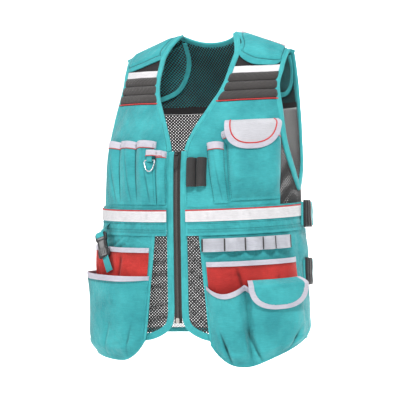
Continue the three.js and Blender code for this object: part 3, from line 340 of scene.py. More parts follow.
def cloth_material(name, color, dark, pitch=0.0012, roughness=0.8, sheen=0.15, patch=9.0, distance=0.0003,
                   crumple=0.0):
    """Woven cloth: threads, a slightly uneven dye, soft handling marks, and painted shade that darkens its creases and
    leaves its ridges a little lighter.
    """
    material, n = new_material(name)
    u, v = n.uv()
    warp, weft = (n.math("SINE", n.math("MULTIPLY", value, math.pi / pitch)) for value in (u, v))
    threads = n.math("ABSOLUTE", n.math("MULTIPLY", warp, weft))
    along = n.add("ShaderNodeCombineXYZ")
    n.link(n.math("MULTIPLY", u, 90.0), along.inputs[0])
    n.link(n.math("MULTIPLY", v, 700.0), along.inputs[1])
    slub = n.noise(1.0, 2.0, along.outputs[0])
    patches = n.ramp(n.noise(patch, 5.0), ((0.34, dark), (0.66, color)))
    fine = n.noise(900.0, 1.0)
    thread_tint = n.math("MULTIPLY_ADD", threads, 0.14, 0.88)
    fleck = n.math("MULTIPLY_ADD", fine, 0.16, 0.92)
    streaks = n.math("MULTIPLY_ADD", slub, 0.4, 0.8)
    shade = n.math("MULTIPLY", n.math("MULTIPLY", thread_tint, fleck), streaks)
    tint = n.add("ShaderNodeCombineColor")
    for socket in tint.inputs:
        n.link(shade, socket)
    tinted = n.multiply_color(patches, tint.outputs[0])
    # Painted shade: the mesh's pointiness darkens concave places (creases) and leaves convex ridges a little lighter.
    bend = n.add("ShaderNodeNewGeometry").outputs["Pointiness"]
    crease = n.ramp(bend, ((0.455, (0.3, 0.3, 0.3)), (0.5, (0.94, 0.94, 0.94)), (0.54, (1, 1, 1))))
    tinted = n.multiply_color(tinted, crease)
    rough = n.math("MULTIPLY_ADD", n.noise(60.0, 2.0), 0.12, roughness - 0.06)
    height = n.math("ADD", n.math("MULTIPLY", threads, 0.7), n.math("MULTIPLY", n.noise(220.0, 2.0), 0.8))
    if crumple:
        broad = n.noise(30.0, 5.0)
        height = n.math("ADD", n.math("MULTIPLY", height, 0.06), n.math("MULTIPLY", broad, crumple))
        distance = 0.0065
    n.finish(tinted, rough, height, distance, sheen=sheen)
    return material


def net_material(name, thread, dark, pitch, hole):
    """Knitted net: a staggered lattice of rounded holes. `hole` is a radius, as a share of the pitch."""
    material, n = new_material(name)
    u, v = n.uv()
    nearest = None
    for shift in (0.0, 0.5):
        parts = []
        for value in (u, v):
            cell = n.math("FRACT", n.math("ADD", n.math("DIVIDE", value, pitch), shift + 100.0))
            parts.append(n.math("SUBTRACT", cell, 0.5))
        far = n.math("SQRT", n.math("ADD", n.math("POWER", n.math("ABSOLUTE", parts[0]), 2.0),
                                    n.math("POWER", n.math("ABSOLUTE", parts[1]), 2.0)))
        nearest = far if nearest is None else n.math("MINIMUM", nearest, far)
    solid = n.math("GREATER_THAN", nearest, hole)
    thread_round = n.math("SMOOTH_MAX", n.math("SUBTRACT", nearest, hole), 0.0, 0.05)
    color = n.ramp(n.noise(400.0, 2.0), ((0.3, dark), (0.7, thread)))
    n.finish(color, 0.75, thread_round, 0.0012, alpha=solid, sheen=0.1)
    return material


def plastic_material(name, color, roughness):
    material, n = new_material(name)
    rough = n.math("MULTIPLY_ADD", n.noise(180.0, 3.0), 0.14, roughness - 0.07)
    tinted = n.ramp(n.noise(40.0, 2.0), ((0.3, tuple(c * 0.85 for c in color)), (0.7, color)))
    n.finish(tinted, rough, n.noise(300.0, 2.0), 0.00004, coat=0.3)
    return material


def metal_material(name, color, roughness):
    material, n = new_material(name)
    rough = n.math("MULTIPLY_ADD", n.noise(250.0, 4.0), 0.16, roughness - 0.06)
    tinted = n.ramp(n.noise(90.0, 3.0), ((0.35, tuple(c * 0.8 for c in color)), (0.65, color)))
    n.finish(tinted, rough, n.noise(1200.0, 3.0), 0.00004, metallic=1.0)
    return material


TEAL = cloth_material("teal_cloth", (0.06, 0.50, 0.53), (0.032, 0.345, 0.38), sheen=0.2, patch=20.0, crumple=2.0)
TEAL_TAPE = cloth_material("teal_tape", (0.06, 0.49, 0.51), (0.048, 0.42, 0.45), pitch=0.0008, patch=30.0)
RED = cloth_material("red_cloth", (0.68, 0.042, 0.034), (0.50, 0.026, 0.022), sheen=0.1, patch=14.0, crumple=1.8)
RED_CORD = cloth_material("red_piping", (0.70, 0.05, 0.05), (0.60, 0.04, 0.04), pitch=0.0006, patch=40.0)
PALE = cloth_material("pale_tape", (0.66, 0.64, 0.72), (0.59, 0.57, 0.66), pitch=0.0007, roughness=0.7, patch=40.0)
PALE_FLAP = cloth_material("pale_cloth", (0.66, 0.66, 0.70), (0.59, 0.59, 0.63), pitch=0.001, patch=25.0)
ELASTIC = cloth_material("elastic_tape", (0.60, 0.61, 0.67), (0.50, 0.51, 0.56), pitch=0.0018, patch=60.0,
                         distance=0.0006)
SILVER = cloth_material("reflective_tape", (0.83, 0.81, 0.83), (0.77, 0.75, 0.77), pitch=0.0005, roughness=0.42,
                        sheen=0.0, patch=60.0, distance=0.00012)
BLACK = cloth_material("black_cloth", (0.022, 0.021, 0.023), (0.014, 0.013, 0.015), pitch=0.0009, sheen=0.1)
RIB = cloth_material("rib_cloth", (0.062, 0.056, 0.054), (0.042, 0.038, 0.038), pitch=0.0011, roughness=0.7, sheen=0.3)
WEBBING = cloth_material("black_webbing", (0.055, 0.052, 0.05), (0.035, 0.033, 0.033), pitch=0.0016, roughness=0.65,
                         distance=0.0005)
ZIP_TAPE = cloth_material("zip_tape", (0.052, 0.046, 0.042), (0.038, 0.034, 0.032), pitch=0.0007, roughness=0.6)
NET = net_material("net_cloth", (0.04, 0.039, 0.04), (0.018, 0.018, 0.019), 0.0064, 0.122)
NET_FRONT = net_material("net_cloth_front", (0.05, 0.049, 0.05), (0.022, 0.022, 0.023), 0.0064, 0.172)
NET_FINE = net_material("net_cloth_fine", (0.05, 0.049, 0.05), (0.022, 0.022, 0.023), 0.0031, 0.24)
NET_LINING = net_material("net_lining", (0.035, 0.034, 0.036), (0.016, 0.016, 0.017), 0.0064, 0.275)
TEETH = plastic_material("zip_teeth", (0.10, 0.09, 0.085), 0.4)
PALE_PLASTIC = plastic_material("pale_plastic", (0.55, 0.50, 0.46), 0.45)
PLASTIC = plastic_material("black_plastic", (0.024, 0.024, 0.026), 0.3)
STEEL = metal_material("steel", (0.72, 0.74, 0.78), 0.2)
GUNMETAL = metal_material("slider_metal", (0.10, 0.097, 0.095), 0.38)
STITCH = cloth_material("stitches", (0.05, 0.40, 0.42), (0.04, 0.34, 0.36), pitch=0.0003, patch=80.0)


# Meshes
def build_piece(name, points, faces, uvs, materials, face_material=None, body="vest", replaces=(), smooth=50):
    """A mesh object in metres, with one UV pair a vertex, riding on a body."""
    mesh = bpy.data.meshes.new(name)
    mesh.from_pydata([tuple(p) for p in points], [], [tuple(int(i) for i in f) for f in faces])
    layer = mesh.uv_layers.new(name="cloth")
    corners = np.zeros(len(mesh.loops), np.int64)
    mesh.loops.foreach_get("vertex_index", corners)
    layer.data.foreach_set("uv", np.asarray(uvs, float)[corners].ravel())
    for material in materials:
        mesh.materials.append(material)
    if face_material is not None:
        mesh.polygons.foreach_set("material_index", np.asarray(face_material, np.int32))
    mesh.shade_smooth()
    mesh.set_sharp_from_angle(angle=math.radians(smooth))
    mesh.update()
    piece = bpy.data.objects.new(name, mesh)
    bpy.context.scene.collection.objects.link(piece)
    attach(piece, body)
    if replaces:
        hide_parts(*replaces)
    return piece


def grid_faces(rows, cols, offset=0, flip=False):
    j, i = np.meshgrid(np.arange(rows - 1), np.arange(cols - 1), indexing="ij")
    a = (j * cols + i).ravel() + offset
    quads = np.stack([a, a + 1, a + cols + 1, a + cols], 1)
    return quads[:, ::-1] if flip else quads


def shares(steps):
    """Even shares for a number of steps, or the given shares."""
    return np.linspace(0, 1, steps + 1) if isinstance(steps, int) else np.asarray(steps)


def cloth_piece(name, place, columns, rows, materials, sign=LEFT, wall=None, band=None, held="hung", rests_on=(),
                replaces=(), pads=None):
    """A closed sheet. place(u, v) gives across, height, low and high for arrays of shares.

    band(u, v) gives the material number of each face; pads is not used.
    """
    u, v = np.meshgrid(shares(columns), shares(rows))
    across, height, low, high = (np.broadcast_to(x, u.shape) for x in place(u, v))
    if wall is not None:
        high = low + wall
    across = across * sign
    outer, inner = spot(across, height, high), spot(across, height, low)
    n_rows, n_cols = u.shape
    count = n_rows * n_cols
    index = np.arange(count).reshape(n_rows, n_cols)
    faces = [grid_faces(n_rows, n_cols), grid_faces(n_rows, n_cols, count, flip=True)]
    rim = np.concatenate([index[0], index[1:, -1], index[-1, -2::-1], index[-2:0:-1, 0]])
    nxt = np.roll(rim, -1)
    faces.append(np.stack([rim + count, nxt + count, nxt, rim], 1))
    faces = np.concatenate(faces)
    if sign < 0:
        faces = faces[:, ::-1]
    uv = np.stack([across, height], -1).reshape(-1, 2) * MM
    face_material = None
    if band is not None:
        centre_u = (u[:-1, :-1] + u[1:, 1:]) / 2
        centre_v = (v[:-1, :-1] + v[1:, 1:]) / 2
        kinds = np.asarray(band(centre_u, centre_v), int).ravel()
        rim_kinds = np.asarray(band(u, v), int).ravel()[rim]
        face_material = np.concatenate([kinds, kinds, rim_kinds])
    points = np.concatenate([outer.reshape(-1, 3), inner.reshape(-1, 3)])
    piece = build_piece(name, points, faces, np.concatenate([uv, uv]), materials, face_material, replaces=replaces)


def side_piece(side, name, place, columns, rows, materials, node="", rest="", **more):
    """A cloth piece on one side of the vest, with the side behind each name."""
    cloth_piece(f"{name}_{side}", place, columns, rows, materials, dict(SIDES)[side],
                replaces=[f"{node}_{side}"] if node else (), rests_on=[f"{rest}_{side}"] if rest else (), **more)


def round_profile(near, far, low, high, corners=12, squareness=0.45):
    """Rounded flat cross-section of a tape: (outside, lift) pairs."""
    turn = full_turn(corners)
    c, s = np.cos(turn), np.sin(turn)
    bulge_c = np.sign(c) * np.abs(c) ** squareness
    bulge_s = np.sign(s) * np.abs(s) ** squareness
    return (near + far) / 2 + (far - near) / 2 * bulge_c, (low + high) / 2 + (high - low) / 2 * bulge_s


def path_run(across, height):
    return unit(np.stack([np.gradient(across), np.gradient(height)], -1))


def beside(run, across, height, outside, turn):
    """Places beside a path. Positive outside is on the side that `turn` points to."""
    return across[:, None] + turn * run[:, 1:] * outside, height[:, None] - turn * run[:, :1] * outside


def bar_rings(across, lift, up, out, turn):
    """Rings of a flat bar that follows a path in its own (up, out) plane."""
    a, b = beside(path_run(up, out), up, out, lift, turn)
    return np.stack([np.broadcast_to(across, a.shape), a, b], -1)


def run_rings(across, height, turn, profile):
    """Rings of a puckered tape along a path of places."""
    outside, lift = profile
    length = summed(np.hypot(np.diff(across), np.diff(height)))
    wave = 0.12 * np.sin(length / 3.1 + np.sin(length / 17.0) * 2)[:, None]
    a, h = beside(path_run(across, height), across, height, outside, turn)
    swell = np.sign(lift - lift.mean()) * wave
    return spot(a, h, lift[None] + swell)


def ring_piece(name, rings, materials, closed=False, body="vest", replaces=(), across_uv=0.001):
    """A closed bar through rings of points in metres."""
    count, corners = rings.shape[:2]
    spans = count if closed else count - 1
    r, c = np.meshgrid(np.arange(spans), np.arange(corners), indexing="ij")
    r, c = r.ravel(), c.ravel()
    nr, nc = (r + 1) % count, (c + 1) % corners
    faces = [tuple(q) for q in np.stack([r * corners + c, nr * corners + c, nr * corners + nc, r * corners + nc], 1)]
    if not closed:
        faces.append(tuple(range(corners)))
        faces.append(tuple(range(count * corners - 1, (count - 1) * corners - 1, -1)))
    middle = rings.mean(1)
    length = summed(np.linalg.norm(np.diff(middle, axis=0), axis=1))
    uv = np.stack([np.repeat(length, corners), np.tile(np.arange(corners) * across_uv, count)], 1)
    points = rings.reshape(-1, 3)
    volume = sum(np.dot(points[f[0]], np.cross(points[f[i]], points[f[i + 1]]))
                 for f in faces for i in range(1, len(f) - 1))
    if volume < 0:
        faces = [f[::-1] for f in faces]
    build_piece(name, points, faces, uv, materials, None, body, replaces)


def spread(side, a, up, b):
    """Offsets of the corners (a, b) of a cross-section at each point of a line."""
    return side[:, None] * a[None, :, None] + up[:, None] * b[None, :, None]


def tube_rings(points, radius):
    """Rings round a line of points in metres."""
    points = np.asarray(points, float)
    run = unit(np.gradient(points, axis=0))
    side = unit(np.cross(run, np.array([0.0, 0.13, 0.99])))
    up = np.cross(side, run)
    turn = full_turn(8)
    return points[:, None] + spread(side, np.cos(turn), up, np.sin(turn)) * radius


def shifted(faces, base):
    return [tuple(base + corner for corner in face) for face in faces]


STITCH_RADIUS = 0.32
STITCH_FACES = ((0, 4, 5, 1), (4, 2, 3, 5), (0, 6, 7, 2, 4), (1, 5, 3, 7, 6), (0, 1, 6), (2, 7, 3))
stitch_points, stitch_faces, stitch_uvs = [], [], []


def stitch_run(across, height, lift, pitch=3.4, length=2.3):
    """A row of stitches along a path of places, kept for the one piece that holds them all."""
    across, height, lift = same_shape(across, height, lift)
    line = spot(across, height, lift) / MM
    out = cloth_frame(across, height)[2]
    far = summed(np.linalg.norm(np.diff(line, axis=0), axis=1))
    starts = np.arange(pitch / 2, far[-1] - length, pitch)
    ends = starts + length

    def between(values, where):
        return np.stack([np.interp(where, far, values[:, k]) for k in range(3)], -1)

    a, b, normal = between(line, starts), between(line, ends), between(out, (starts + ends) / 2)
    side = unit(np.cross(b - a, normal)) * STITCH_RADIUS
    rise = normal * STITCH_RADIUS
    crown = (a + b) / 2
    for corner_set in zip(a - side, a + side, b - side, b + side, crown - side + rise * 1.4, crown + side + rise * 1.4,
                          a - rise, b - rise):
        stitch_faces.extend(shifted(STITCH_FACES, len(stitch_points)))
        stitch_points.extend(np.array(corner_set) * MM)
        stitch_uvs.extend([(0, 0)] * 8)


# Camera, as the photograph was taken
IMAGE, SENSOR = 400, 36
VIEW_AZIMUTH, VIEW_PITCH, VIEW_ROLL = math.radians(22), math.radians(-1.6), math.radians(-0.4)
VIEW_TARGET = Vector((-5.6, -42.2, -338)) * MM
VIEW_DISTANCE = 2.75
PIXELS_PER_METRE = 500


def make_camera():
    data = bpy.data.cameras.new("camera")
    data.sensor_width = SENSOR
    data.lens = SENSOR * PIXELS_PER_METRE * VIEW_DISTANCE / IMAGE
    data.clip_start, data.clip_end = 0.05, 100
    camera = bpy.data.objects.new("camera", data)
    bpy.context.scene.collection.objects.link(camera)
    ahead = Vector((-math.sin(VIEW_AZIMUTH) * math.cos(VIEW_PITCH), math.cos(VIEW_AZIMUTH) * math.cos(VIEW_PITCH),
                    -math.sin(VIEW_PITCH)))
    camera.location = VIEW_TARGET - ahead * VIEW_DISTANCE
    camera.rotation_mode = "QUATERNION"
    turned = ahead.to_track_quat("-Z", "Y").to_matrix() @ Matrix.Rotation(VIEW_ROLL, 3, "Z")
    camera.rotation_quaternion = turned.to_quaternion()
    bpy.context.scene.camera = camera


make_camera()


# Net body and the cloth beside it
FRONT_ARM_SHARE = (MESH_FOOT + ARMHOLE_DEPTH) / (MESH_FOOT + FRONT_MESH_TOP)


def front_mesh_place(u, v):
    middle = mix(MESH_FOOT, -FRONT_MESH_TOP, v)
    across = mix(neck_edge(middle), armhole_edge(middle) - SEAM_GAP / 2, u)
    hem_rise = (hem_edge(across) - MESH_FOOT) * np.maximum(0, 1 - v / FRONT_ARM_SHARE)
    beside_arm = np.maximum(0, (v - FRONT_ARM_SHARE) / (1 - FRONT_ARM_SHARE))
    height = middle + hem_rise + shoulder_line(across, 0) * beside_arm
    return across, height, NET_LOW, NET_HIGH


def front_panel_place(u, v):
    middle = mix(-BELT_TOP, -FRONT_MESH_TOP, v)
    outer = np.minimum(PANEL_WIDTH, armhole_edge(middle) - SEAM_GAP)
    across = mix(neck_edge(middle) + SEAM_GAP, outer, u)
    height = mix(level_height(across, BELT_TOP) + SEAM_GAP, shoulder_line(across, FRONT_MESH_TOP), v)
    drape = 0.5 * np.sin(across / 23 + height / 41) * np.sin(v * math.pi)
    return across, height, PANEL_SEAT - 0.3 + drape, PANEL_TOP + drape


def shoulder_base_place(u, v):
    foot = FRONT_MESH_TOP - SEAM_GAP
    middle = mix(-foot, -RIDGE_GAP, towards_ridge(v))
    across = mix(neck_edge(middle), armhole_edge(middle), u)
    height = mix(shoulder_line(across, foot), ridge_at(across) - RIDGE_GAP, towards_ridge(v))
    return across, height, np.where(v == 1, -CLOTH_WALL / 2, -CLOTH_WALL), 0


def shoulder_band_place(top, foot, high_at):
    def place(u, v):
        down = mix(foot, top, v)
        across = mix(neck_edge(-down) + SEAM_GAP, armhole_edge(-down) - SEAM_GAP, u)
        return across, shoulder_line(across, down), 0.2, high_at(u, v)
    return place


def rib_high(u, v):
    turn = v * RIB_COUNT
    side = mix(0.25, 1, ease(np.minimum(u, 1 - u) / 0.05))
    crease = 0.25 * np.sin(u * 61 + 4 * np.sin(turn * 5)) * np.abs(np.sin(turn * math.pi))
    return PANEL_TOP + (4.2 * np.abs(np.sin(turn * math.pi)) ** 0.75 + crease) * side


def pad_edge(u, v):
    return np.minimum(1, 4 * np.minimum(u, 1 - u) + 0.3) * np.minimum(1, 0.35 + 3 * v)


def pad_place(side):
    def place(u, v):
        middle = mix(-STRIPE_TOP, -RIDGE_GAP, towards_ridge(v))
        across = mix(neck_edge(middle) + SEAM_GAP, armhole_edge(middle) + 1, u)
        foot = shoulder_line(across, STRIPE_TOP) + SEAM_GAP + STRIPE_TOP * look_up(PAD_FOOT[side], u)
        height = mix(foot, ridge_at(across) - RIDGE_GAP, towards_ridge(v))
        low = PANEL_SEAT + LAYER_GAP
        aside = np.minimum(u, 1 - u)
        seam = np.maximum(valley(aside, 0.08, 0.018), valley(v, 0.13, 0.025))
        inside = (aside > 0.06) & (v > 0.1)
        return across, height, low, low + 6 * pad_edge(u, v) - 1.3 * seam * inside
    return place


def tongue_place(u, v):
    outer = back_armhole_edge(mix(-TONGUE_REACH, 0, v) - RIDGE_SETBACK) - TONGUE_INSET
    across = mix(NECK_HALF_WIDTH + TONGUE_INSET, outer, u)
    top = ridge_at(across) - RIDGE_GAP - NECK_BACK_DROP / 2
    corner = 0.62 * TONGUE_REACH * np.abs(2 * u - 1) ** 3.2
    foot = top - TONGUE_REACH + corner
    high = -CLOTH_WALL - 2 * LAYER_GAP - 0.8
    return on_back(across), mix(foot, top, towards_ridge(v)), high - 5.5 * pad_edge(u, v), high


BACK_MESH_FOOT = -BODY_LENGTH + BINDING_WIDTH + SEAM_GAP
BACK_MESH_TOP = -YOKE_FOOT - SEAM_GAP / 2
BACK_ARM_SHARE = (-ARMHOLE_DEPTH - BACK_MESH_FOOT) / (BACK_MESH_TOP - BACK_MESH_FOOT)
NECK_CROSS = float(neck_edge(-RIDGE_GAP))
NECK_TURN = 2


def back_mesh_place(u, v):
    height = mix(BACK_MESH_FOOT, BACK_MESH_TOP, v)
    half = back_armhole_edge(height) - SEAM_GAP / 2
    return on_back(mix(half, -half, u)), height, NET_LOW, NET_HIGH


def back_neck_height(from_middle):
    inner = NECK_CROSS - NECK_TURN
    round_back = -NECK_BACK_DROP * (1 - (np.minimum(from_middle, inner) / inner) ** 2.2)
    return np.where(from_middle > inner + NECK_TURN / 2, 0, round_back - NECK_BINDING_WIDTH - 2 * SEAM_GAP)


def yoke_place(u, v):
    half = back_armhole_edge(mix(-YOKE_FOOT, -RIDGE_GAP, towards_ridge(v)))
    from_middle = mix(half, -half, u)
    edge = np.minimum(ridge_at(from_middle), back_neck_height(np.abs(from_middle))) - RIDGE_GAP
    height = mix(-YOKE_FOOT + SEAM_GAP / 2, edge, towards_ridge(v))
    return on_back(from_middle), height, np.where(v == 1, -CLOTH_WALL / 2, -CLOTH_WALL), 0


def inside_of(place, low, high, v_from, v_to, inset):
    """The same outline as another place, moved to other lifts and cut to some of its rows."""
    def inner(u, v):
        across, height, _, _ = place(mix(inset, 1 - inset, u), mix(v_from, v_to, v))
        return across, height, low, high
    return inner


yoke_tip = float(back_armhole_edge(-RIDGE_GAP))
yoke_half = np.concatenate([
    np.linspace(0, NECK_CROSS - NECK_TURN, 24)[:-1], [NECK_CROSS - NECK_TURN, NECK_CROSS],
    np.linspace(NECK_CROSS, yoke_tip, 24)[1:],
]) / yoke_tip
YOKE_COLUMNS = np.concatenate([(1 - yoke_half[:0:-1]) / 2, (1 + yoke_half) / 2])


def over_tongue(u, v):
    across, height, low, _ = tongue_place(u, v)
    return across, height, low - 0.7, low - 0.2


def make_body():
    stripe = shoulder_band_place(STRIPE_TOP, RIBS_TOP, lambda u, v: 1.8)
    ribs = shoulder_band_place(RIBS_TOP, RIBS_FOOT + 1, rib_high)
    for side, _ in SIDES:
        for name, place, columns, rows, material, node, rest, pads in (
            ("net_front", front_mesh_place, 40, 80, NET_FRONT, "front_mesh", "front_binding", None),
            ("cloth_front", front_panel_place, 48, 56, TEAL, "front_panel", "front_mesh", None),
            ("cloth_shoulder", shoulder_base_place, 30, 36, BLACK, "shoulder_base", "front_mesh", None),
            ("tape_shoulder", stripe, 40, 4, SILVER, "shoulder_stripe", "shoulder_base", None),
            ("ribs_shoulder", ribs, 60, 54, RIB, "shoulder_ribs", "", 0.7),
            ("pad_flap", pad_place(side), 90, 60, TEAL, "shoulder_pad", "", 0.5),
            ("pad_inside", tongue_place, 36, 32, TEAL, "pad_tongue", "", 0.6),
            ("pad_net", over_tongue, 36, 32, NET_LINING, "", "pad_tongue", None),
        ):
            side_piece(side, name, place, columns, rows, [material], node, rest, pads=pads)
    belt_row = (BACK_MESH_FOOT + BELT_TOP + 20) / (BACK_MESH_FOOT - BACK_MESH_TOP)
    cloth_piece("net_back", back_mesh_place, 120, 90, [NET, NET_FINE], band=lambda u, v: v < belt_row,
                replaces=["back_mesh"], rests_on=["back_hem_binding"])
    cloth_piece("cloth_yoke", yoke_place, YOKE_COLUMNS, 30, [TEAL], replaces=["back_yoke"], rests_on=["back_mesh"])
    cloth_piece("net_lining", inside_of(yoke_place, -CLOTH_WALL - 1.3, -CLOTH_WALL - 0.7, 0.02, 0.96, 0.02), 100, 30,
                [NET_LINING], rests_on=["back_yoke"])
    cloth_piece("band_inside", inside_of(yoke_place, -CLOTH_WALL - 2.2, -CLOTH_WALL - 1.4, 0.0, 0.06, 0.0), 100, 4,
                [BLACK], rests_on=["back_yoke"])


# Edge bindings
def ridge_ring(x, to_side, profile):
    outside, lift = profile
    at = x + to_side * outside
    out = unit(np.array([np.sign(x) * SHOULDER_SLOPE, 0, 1]))
    return (np.stack([at, 0 * at, ridge_height(at)], -1) + out * lift[:, None]) * MM


def dense(values, steps):
    """The same polyline with `steps` points to a span."""
    values = np.asarray(values, float)
    where = np.linspace(0, len(values) - 1, (len(values) - 1) * steps + 1)
    return np.interp(where, np.arange(len(values)), values)


def armhole_path():
    parts = [place(np.full(len(v), u), v)[:2] for place, u, v in (
        (shoulder_base_place, 1.0, np.linspace(0.94, 0.03, 34)),
        (front_mesh_place, 1.0, np.linspace(1, FRONT_ARM_SHARE + 0.004, 40)),
        (back_mesh_place, 0.0, np.linspace(BACK_ARM_SHARE + 0.004, 1, 40)),
        (yoke_place, 0.0, np.linspace(0.03, 0.94, 34)),
    )]
    parts.insert(2, ([QUARTER], [-ARMHOLE_DEPTH]))
    return [np.concatenate([part[k] for part in parts]) for k in (0, 1)]


def smooth_path(values, times=6):
    values = values.copy()
    for _ in range(times):
        values[1:-1] = (values[:-2] + 2 * values[1:-1] + values[2:]) / 4
    return values


def smooth_loop(values, times):
    for _ in range(times):
        values = (np.roll(values, 1) + 2 * values + np.roll(values, -1)) / 4
    return values


def u_path(top, foot, inset, counts, times):
    """Smoothed shares (u, v) down one side of a piece, along its foot and up the other."""
    down, along, up = counts
    v = np.concatenate([np.linspace(top, foot, down), np.full(along, float(foot)), np.linspace(foot, top, up)])
    u = np.concatenate([np.full(down, float(inset)), np.linspace(inset, 1 - inset, along), np.full(up, 1.0 - inset)])
    return (smooth_path(u, times), smooth_path(v, times)) if times else (u, v)


def make_bindings():
    middle = -CLOTH_WALL / 2
    for side, sign in SIDES:
        across, height = (smooth_path(values) for values in armhole_path())
        profile = round_profile(-4.5, SEAM_GAP + BINDING_WIDTH, middle - 1.9, 3.4, 14)
        rings = run_rings(across * sign, height, -sign, profile)
        tip = cloth_point(sign * armhole_edge(-RIDGE_GAP), -RIDGE_GAP)[0]
        ring = ridge_ring(tip + sign * SEAM_GAP, sign, profile)
        ring_piece(f"edge_armhole_{side}", np.concatenate([rings, ring[None]]), [TEAL_TAPE], closed=True,
                   replaces=[f"armhole_binding_{side}"])
        hem = front_mesh_place(np.linspace(0, 1, 90), np.zeros(90))[:2]
        down_zip = mix(-NECK_DEPTH, float(hem[1][0]), np.linspace(0, 1, 60)[:-1])
        path_a = np.concatenate([np.full(59, hem[0][0]), hem[0]])
        path_h = np.concatenate([down_zip, hem[1]])
        profile = round_profile(-1.5, SEAM_GAP + FRONT_BINDING_WIDTH, middle - 1.6, middle + 2.4, 14)
        rings = run_rings(smooth_path(path_a, 12) * sign, smooth_path(path_h, 12), sign, profile)
        ring_piece(f"edge_front_{side}", rings, [TEAL_TAPE], replaces=[f"front_binding_{side}"])
    front = front_mesh_place(np.zeros(120), np.linspace(FRONT_ARM_SHARE, 1, 120))[:2]
    keep = front[1] > -NECK_DEPTH + 1
    base = shoulder_base_place(np.zeros(34), np.linspace(0.03, 0.94, 34))[:2]
    across, height = (smooth_path(np.concatenate([[first], front[k][keep], base[k]]), 4)
                      for k, first in enumerate((PLACKET_EDGE, -NECK_DEPTH)))
    profile = round_profile(-4.5, SEAM_GAP + NECK_BINDING_WIDTH, middle - 1.8, 3.2, 14)
    left = run_rings(across, height, -1, profile)
    right = run_rings(-across, height, 1, profile)
    yoke = yoke_place(YOKE_COLUMNS, np.ones(len(YOKE_COLUMNS)))[:2]
    inside = np.abs(yoke[0] - on_back(0)) < NECK_CROSS - NECK_TURN / 2
    back = run_rings(yoke[0][inside], yoke[1][inside], -1, profile)
    point = cloth_point(NECK_CROSS, -RIDGE_GAP)[0]
    rings = np.concatenate([left, ridge_ring(point, -1, profile)[None], back, ridge_ring(-point, 1, profile)[None],
                            right[::-1]])
    ring_piece("edge_neck", rings, [TEAL_TAPE], replaces=["neck_binding"])
    hem = back_mesh_place(np.linspace(0, 1, 140), np.zeros(140))[:2]
    profile = round_profile(-1.5, SEAM_GAP + BINDING_WIDTH, middle - 1.6, middle + 1.6, 12)
    ring_piece("edge_back_hem", run_rings(hem[0], hem[1], 1, profile), [TEAL_TAPE], replaces=["back_hem_binding"])


# Shared by the pockets: rows with a step where the top band begins, fills across and the rise from the foot
def band_rows(rows, share):
    return np.concatenate([np.linspace(0, 1 - share, rows), np.linspace(1 - share + 0.004, 1, 5)])


def band_share(form):
    return form["band"] / (form["foot"] - form["top"])


def box_fill(u):
    return 1 - np.abs(2 * u - 1) ** 5


def tube_fill(count, roundness=0.7):
    return lambda u: np.abs(np.sin(u * count * math.pi)) ** roundness


def tube_rise(v):
    return 1 - (1 - v) ** 2.4


BAND_WALL = 0.8


def line_on(place, u, v, lift, sign=LEFT):
    """Points on a piece's outer face, for a piping or a stitch row."""
    u, v = same_shape(u, v)
    across, height, _, high = place(u, v)
    return across * sign, height, high + lift


def stitch_on(place, u, v, lift, sign=LEFT, **size):
    stitch_run(*line_on(place, u, v, lift, sign), **size)


def piping(name, place, u, v, sign, radius, lift, material=RED_CORD):
    points = spot(*line_on(place, u, v, lift, sign))
    ring_piece(name, tube_rings(points, radius * MM), [material])


# Belt and its reflective tape
FRONT_STITCH_ROWS, BACK_STITCH_ROWS = (387.5, 398.5), (388.5, 403.5)
BELT_PIPING_ROOM = 2.4


def make_belt():
    def front(top, height, low, wave):
        def place(u, v):
            across = mix(PLACKET_EDGE + SEAM_GAP, QUARTER - SEAM_GAP / 2, u)
            pucker = wave * (np.sin(across / 2.6 + 1.4 * np.sin(across / 11)) * 0.5
                             + np.sin(across / 6.3 + v * 2)) * np.sin(v * math.pi)
            over = 2.4 * ease(1 - v / 0.14) * (height > 30)
            return across, level_height(across, top + height * (1 - v)), low + pucker * 0.5 + over, low + pucker
        return place

    def back(top, height, low, wave):
        def place(u, v):
            half = QUARTER - SEAM_GAP / 2
            from_middle = mix(half, -half, u)
            pucker = wave * np.sin(from_middle / 4.7 + 2 * np.sin(from_middle / 19)) * np.sin(v * math.pi)
            return (on_back(from_middle), SIDE_RISE - top - height * (1 - v), low + pucker * 0.5, low + pucker)
        return place

    tape_top = BELT_TOP + BELT_STRIPE_INSET + BELT_PIPING_ROOM
    tape_height = BELT_STRIPE_HEIGHT - 2.6
    for side, sign in SIDES:
        side_piece(side, "cloth_belt", front(BELT_TOP, BELT_HEIGHT + 3, BELT_SEAT, 0.5), 120, 28, [TEAL], "belt",
                   "front_panel", wall=CLOTH_WALL)
        tape = front(tape_top, tape_height, TRIM_SEAT + 0.3, 0.6)
        side_piece(side, "tape_belt", tape, 120, 10, [SILVER], "belt_stripe", "belt", wall=TAPE_WALL)
        piping(f"piping_belt_{side}", tape, np.linspace(0, 1, 80), 1.06, sign, 1.3, 0.4)
        across = np.linspace(PLACKET_EDGE + 3, QUARTER - 3, 60)
        for down in FRONT_STITCH_ROWS:
            stitch_run(across * sign, level_height(across, down), BELT_TOP_FACE + 0.3)
    cloth_piece("cloth_belt_back", back(BELT_TOP, BELT_HEIGHT, BELT_SEAT, 0.35), 180, 12, [TEAL],
                wall=CLOTH_WALL, replaces=["belt_back"], rests_on=["back_mesh"])
    back_tape = back(tape_top, tape_height, TRIM_SEAT, 0.35)
    cloth_piece("tape_belt_back", back_tape, 220, 10, [SILVER], wall=TAPE_WALL, replaces=["belt_stripe_back"],
                rests_on=["belt_back"])
    piping("piping_belt_back", back_tape, np.linspace(0, 1, 160), 1.06, LEFT, 1.3, 0.4)
    from_middle = np.linspace(QUARTER - 4, 4 - QUARTER, 120)
    for down in BACK_STITCH_ROWS:
        stitch_run(on_back(from_middle), SIDE_RISE - down + 0 * from_middle, BELT_TOP_FACE + 0.2)


